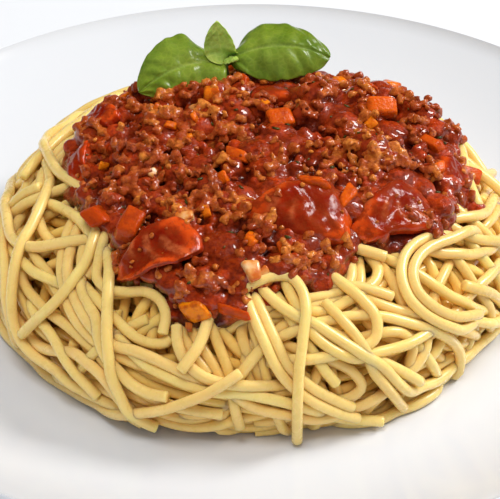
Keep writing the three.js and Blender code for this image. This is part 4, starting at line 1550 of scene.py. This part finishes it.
# Onion slivers that show in the picture: picture point, length, width, spin
SHOWN_ONIONS = [
    (252, 271, 5.6, 4.2, -66), (263, 278, 5.4, 4.2, -44), (184, 218, 4.8, 2.8, 10), (152, 172, 3.0, 2.2, 60),
]


def make_onions(material, sauce_skin):
    """Slivers that bend down along their length and narrow to one end."""
    random = np.random.default_rng(31)
    die, die_faces = cut_dice()
    slivers = Parts()

    def put(place, normal, length, width, spin):
        x, y, z = die.T
        bow = np.column_stack([x, y * (1 - 0.5 * x), z - 0.5 * x ** 2])
        shape = bow * (length, width, length * 0.42)
        shape = shape + 0.25 * np.sin(shape @ random.normal(0, 1.1, (3, 3)) + random.uniform(0, 6, 3))
        turned = shape @ resting_turn(normal, random.normal(0, 8), spin).T
        slivers.add(turned + place + normal * 0.5, die_faces)

    for u, v, length, width, spin in SHOWN_ONIONS:
        place, normal = seen_at(sauce_skin, u, v)
        if place is not None:
            put(place, normal, length, width, spin)
    for x, y in spiral_spots(12, 0.9, random, 4):
        place, normal = seen_above(sauce_skin, x, y)
        if place is not None and y > 14:
            put(place, normal, random.uniform(2.6, 4.6), random.uniform(1.6, 2.8), random.uniform(0, 180))
    return slivers.make("onion_slivers", material)


def make_herbs(material, sauce_skin):
    """Flecks: each is an uneven outline of seven points with a ridge above and a point under it."""
    random = np.random.default_rng(12)
    flecks = Parts()
    turns = np.arange(7) * 2 * pi / 7
    faces = []
    for k in range(7):
        faces.append([k, (k + 1) % 7, 7])
        faces.append([(k + 1) % 7, k, 8])
    for x, y in spiral_spots(150, 0.96, random, 2.5):
        place, normal = seen_above(sauce_skin, x, y)
        if place is None:
            continue
        length = random.uniform(0.8, 2.6)
        width = length * random.uniform(0.3, 0.7)
        ring = np.stack([np.cos(turns) * length / 2, np.sin(turns) * width / 2, 0.12 * np.cos(2 * turns)], 1)
        ring[:, :2] *= random.uniform(0.75, 1.2, (7, 1))
        ridge = np.array([[0, 0, 0.28]])
        under = np.array([[0, 0, -0.35]])
        shape = np.vstack([ring, ridge, under]) @ resting_turn(normal, 0, random.uniform(0, 180)).T
        flecks.add(shape + place + normal * 0.12, faces)
    return flecks.make("chopped_herbs", material)


# Basil sprig
SPRIG_FOOT = np.array([-8.0, 33.0, 46.0])
STEM_RADIUS = 1.1
STEM_LENGTH = 15.0
LEAF_THICKNESS = 0.6
# Leaf greens: deep and light are blended as painted shade over the puffs and grooves
LEAF_LIGHT = np.array([0.21, 0.29, 0.03])
LEAF_DEEP = np.array([0.125, 0.195, 0.008])
LEAF_PALE = np.array([0.36, 0.46, 0.10])
# Leaves: rise of the base over the foot, heading, first pitch, bend, length, half width, roll and
# cup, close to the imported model's, then how soon it is widest, how blunt its base and tip are, and
# how much of it is stalk
LEAVES = {
    "basil_leaf_left": (11.5, 206, 24, 60, 27.5, 10.0, -38, 0.34, 0.7, (0.46, 0.66), 0.03),
    "basil_leaf_right": (11.5, 4, 36, 72, 31, 8.8, 30, 0.4, 0.88, (0.6, 0.4), 0.05),
    "basil_leaf_behind": (10.5, 16, 15, 26, 21, 5.6, 4, 0.3, 0.8, (0.6, 0.6), 0.08),
    "basil_leaf_upright": (11, 165, 76, -8, 13.5, 4.1, -80, -0.5, 0.72, (0.5, 0.62), 0.08),
    "basil_leaf_bud": (12, -40, 54, 60, 5.5, 1.9, 0, 0.4, 0.75, (0.7, 0.7), 0.08),
}


def leaf_veins(along, across):
    """How deep a place is in a vein, and how full the blade stands between the veins."""
    inward = np.minimum(np.abs(across), 1)
    row = (along - 0.2 * inward ** 1.3) * 5.6 + 0.4 * np.sign(across) + 0.3 * np.sin(along * 9 + across)
    off = np.abs(row - np.round(row))
    side = np.exp(-(off / 0.06) ** 2) * (1 - 0.75 * inward)
    middle = np.exp(-(across / 0.055) ** 2)
    full = (0.5 - 0.5 * np.cos(2 * pi * row)) * np.sin(pi * np.clip(inward * 0.92 + 0.04, 0, 1)) ** 0.7
    return np.maximum(side, middle), middle, full


def make_leaf(name, facts, material):
    """A blade with two faces, veined, puffed between its veins and waved along its edge."""
    rise, heading, pitch, bend, length, half_width, roll, cup, early, blunt, stalk = facts
    big = length > 20
    rows, columns = (110, 57) if big else (48, 25)
    along = np.linspace(0.004, 0.997, rows)[:, None] * np.ones((1, columns))
    across = np.linspace(-1, 1, columns)[None, :] * np.ones((rows, 1))
    # The midrib rises from its base, bends over and rolls to one side
    bend_turn, first = radians(bend), radians(pitch)
    slope = first - bend_turn * along
    run = length * (np.sin(first) - np.sin(slope)) / bend_turn
    climb = length * (np.cos(slope) - np.cos(first)) / bend_turn
    ahead = polar(heading, 1.0, 0.0)
    up = np.array([0, 0, 1.0])
    side = np.cross(up, ahead)
    spine = SPRIG_FOOT + up * rise + run[..., None] * ahead + climb[..., None] * up
    tangent = np.cos(slope)[..., None] * ahead + np.sin(slope)[..., None] * up
    twist = radians(roll) * smoothstep(along / 0.35)
    upright = np.cross(tangent, side)
    across_way = np.cos(twist)[..., None] * side + np.sin(twist)[..., None] * upright
    normal = np.cross(tangent, across_way)
    # The blade's width along it, and its veins, swells and waves
    blade = np.clip((along - stalk) / (1 - stalk), 0, 1)
    roundness = blunt[0] + (blunt[1] - blunt[0]) * blade
    half = half_width * np.sin(pi * blade ** early) ** roundness + 0.5 * (1 - along)
    size = half_width / 9.4
    vein, middle, full = leaf_veins(along, across)
    inward = np.abs(across)
    puff = 0.5 * np.sin(along * 19) * inward * (1 - inward) - cup * half * across ** 2
    edge_wave = 0.35 * np.sin(along * 31 + across * 2) * smoothstep((inward - 0.7) / 0.3)
    pucker = np.sin(along * 17 + 4 * across) * np.sin(across * 5.5 + 3 * np.sin(along * 8)) * (1 - middle)
    relief = size * (0.2 * full + 0.34 * pucker - 0.08 * vein - 0.4 * middle + 0.7 * edge_wave)
    tooth = 1 + 0.008 * np.sin(along * 55) * smoothstep((inward - 0.8) / 0.2)
    flat = spine + across_way * (half * across * tooth)[..., None]
    thick = LEAF_THICKNESS / 2 * (0.35 + 0.65 * (1 - inward ** 6))
    upper = flat + normal * (puff + relief + thick)[..., None]
    lower = flat + normal * (puff + relief - thick)[..., None]
    points = np.vstack([upper.reshape(-1, 3), lower.reshape(-1, 3)])
    # Upper and lower faces, joined round their edge
    total = rows * columns
    faces = []
    for i in range(rows - 1):
        for j in range(columns - 1):
            a = i * columns + j
            quad = [a, a + columns, a + columns + 1, a + 1]
            faces.append(quad)
            faces.append([total + k for k in quad[::-1]])
    loop = list(range(columns)) + [i * columns + columns - 1 for i in range(1, rows)]
    loop += [(rows - 1) * columns + j for j in range(columns - 2, -1, -1)]
    loop += [i * columns for i in range(rows - 2, 0, -1)]
    for a, b in zip(loop, loop[1:] + loop[:1]):
        faces.append([a, total + a, total + b, b][::-1])
    leaf = make_piece(name, points, faces, material)
    face_outward(leaf)
    # Paler along the veins. Painted shade: lighter where the blade puffs up between the veins, darker in the
    # grooves by them, and the lower face darker with a little pale added. Young leaves are paler, partly
    # their own colour and partly painted light for light shining through them
    # Young leaves are paler: partly their own colour, partly painted light for light shining through them
    pale = LEAF_PALE * (1 if big else 1.5)
    # Painted shade: the puffs between the veins are painted lighter and the grooves by them darker, over
    # broad bands along the blade
    shade = 0.35 + 0.35 * full + 0.3 * np.sin(along * 5 + 2 * across)
    tone = between(LEAF_DEEP, LEAF_LIGHT, np.clip(shade, 0, 1)[..., None])
    young_pale_and_painted_backlight = 0.8 * (not big)
    tone = between(tone, pale, np.clip(vein * 0.12 + middle * 0.3 + young_pale_and_painted_backlight, 0, 1)[..., None])
    # The lower face: painted shade darkens it, and a little pale is added
    tone = np.vstack([tone.reshape(-1, 3), tone.reshape(-1, 3) * 0.85 + 0.1 * pale])
    paint(leaf, tone)
    return leaf


def make_stem(material):
    """The sprig's stem, from inside the sauce to its topmost leaf."""
    heights = np.linspace(-2.0, STEM_LENGTH - 2.6, 14)
    sway = 0.25 * np.sin(heights * 0.4)
    line = SPRIG_FOOT + np.stack([sway, 0 * heights, heights], axis=1)
    points, faces = tube(line, STEM_RADIUS, 14)
    return make_piece("basil_stem", points, faces, material)


# Studio: a soft pale room, a window to the right and a soft lamp overhead

def add_light(name, location, power, size, colour, mirrored):
    """A round soft lamp that faces the food. Only a mirrored one shows in what is wet."""
    light = bpy.data.lights.new(name, "AREA")
    light.energy = power
    light.color = colour
    light.shape = "DISK"
    light.size = size
    lamp = bpy.data.objects.new(name, light)
    lamp.visible_glossy = mirrored
    lamp.location = Vector(location)
    food = Vector((0, 0, 0.03))
    lamp.rotation_euler = (food - lamp.location).to_track_quat("-Z", "Y").to_euler()
    bpy.context.scene.collection.objects.link(lamp)


def make_room():
    """Even light from all round, which is left out of what wet things mirror."""
    room = bpy.data.worlds.new("studio")
    room.use_nodes = True
    room.node_tree.nodes["Background"].inputs["Color"].default_value = (0.93, 0.96, 1.0, 1)
    room.node_tree.nodes["Background"].inputs["Strength"].default_value = 0.52
    room.cycles_visibility.glossy = False
    bpy.context.scene.world = room


bpy.context.scene.view_settings.view_transform = "Standard"
make_camera()
make_room()
add_light("window", (0.95, 0.32, 0.92), 14, 0.5, (1.0, 0.985, 0.965), True)
add_light("overhead", (-0.1, -0.4, 1.5), 10.5, 0.7, (0.98, 0.99, 1.0), False)

plate = make_plate(glaze_material())
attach(plate, "root")
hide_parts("plate")

pasta = pasta_material()
for piece in make_noodles(pasta):
    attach(piece, "root")
    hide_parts("spaghetti_nest")

mounds = mince_mounds(np.random.default_rng(3))
sauce = make_sauce(ragu_material(), mounds)
mince = make_mince(mince_material(), mounds)
skins = [surface_tree(sauce)]

tomato_flesh = tomato_material()
for number, (node, facts) in enumerate(TOMATOES.items()):
    chunk = make_tomato(node, facts, number + 1, tomato_flesh)
    skins.append(surface_tree(chunk))
    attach(chunk, "root")
    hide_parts(node)

crumbs = make_loose_crumbs(mince.data.materials[0], skins)
carrots = make_carrots(carrot_material(), skins)
onions = make_onions(onion_material(), skins[0])
herbs = make_herbs(herb_material(), skins[0])
for piece in (sauce, mince, crumbs, carrots, onions, herbs):
    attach(piece, "root")
    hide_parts("bolognese_sauce")

blade = basil_material()
sprig = [make_leaf(name, facts, blade) for name, facts in LEAVES.items()]
sprig.append(make_stem(stem_material()))
for piece in sprig:
    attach(piece, "root")
    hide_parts("basil_sprig")

deselect()
bpy.ops.mesh.primitive_plane_add(size=6)
floor = bpy.context.object
floor.name = "pale_floor"
floor.data.materials.append(board_material())
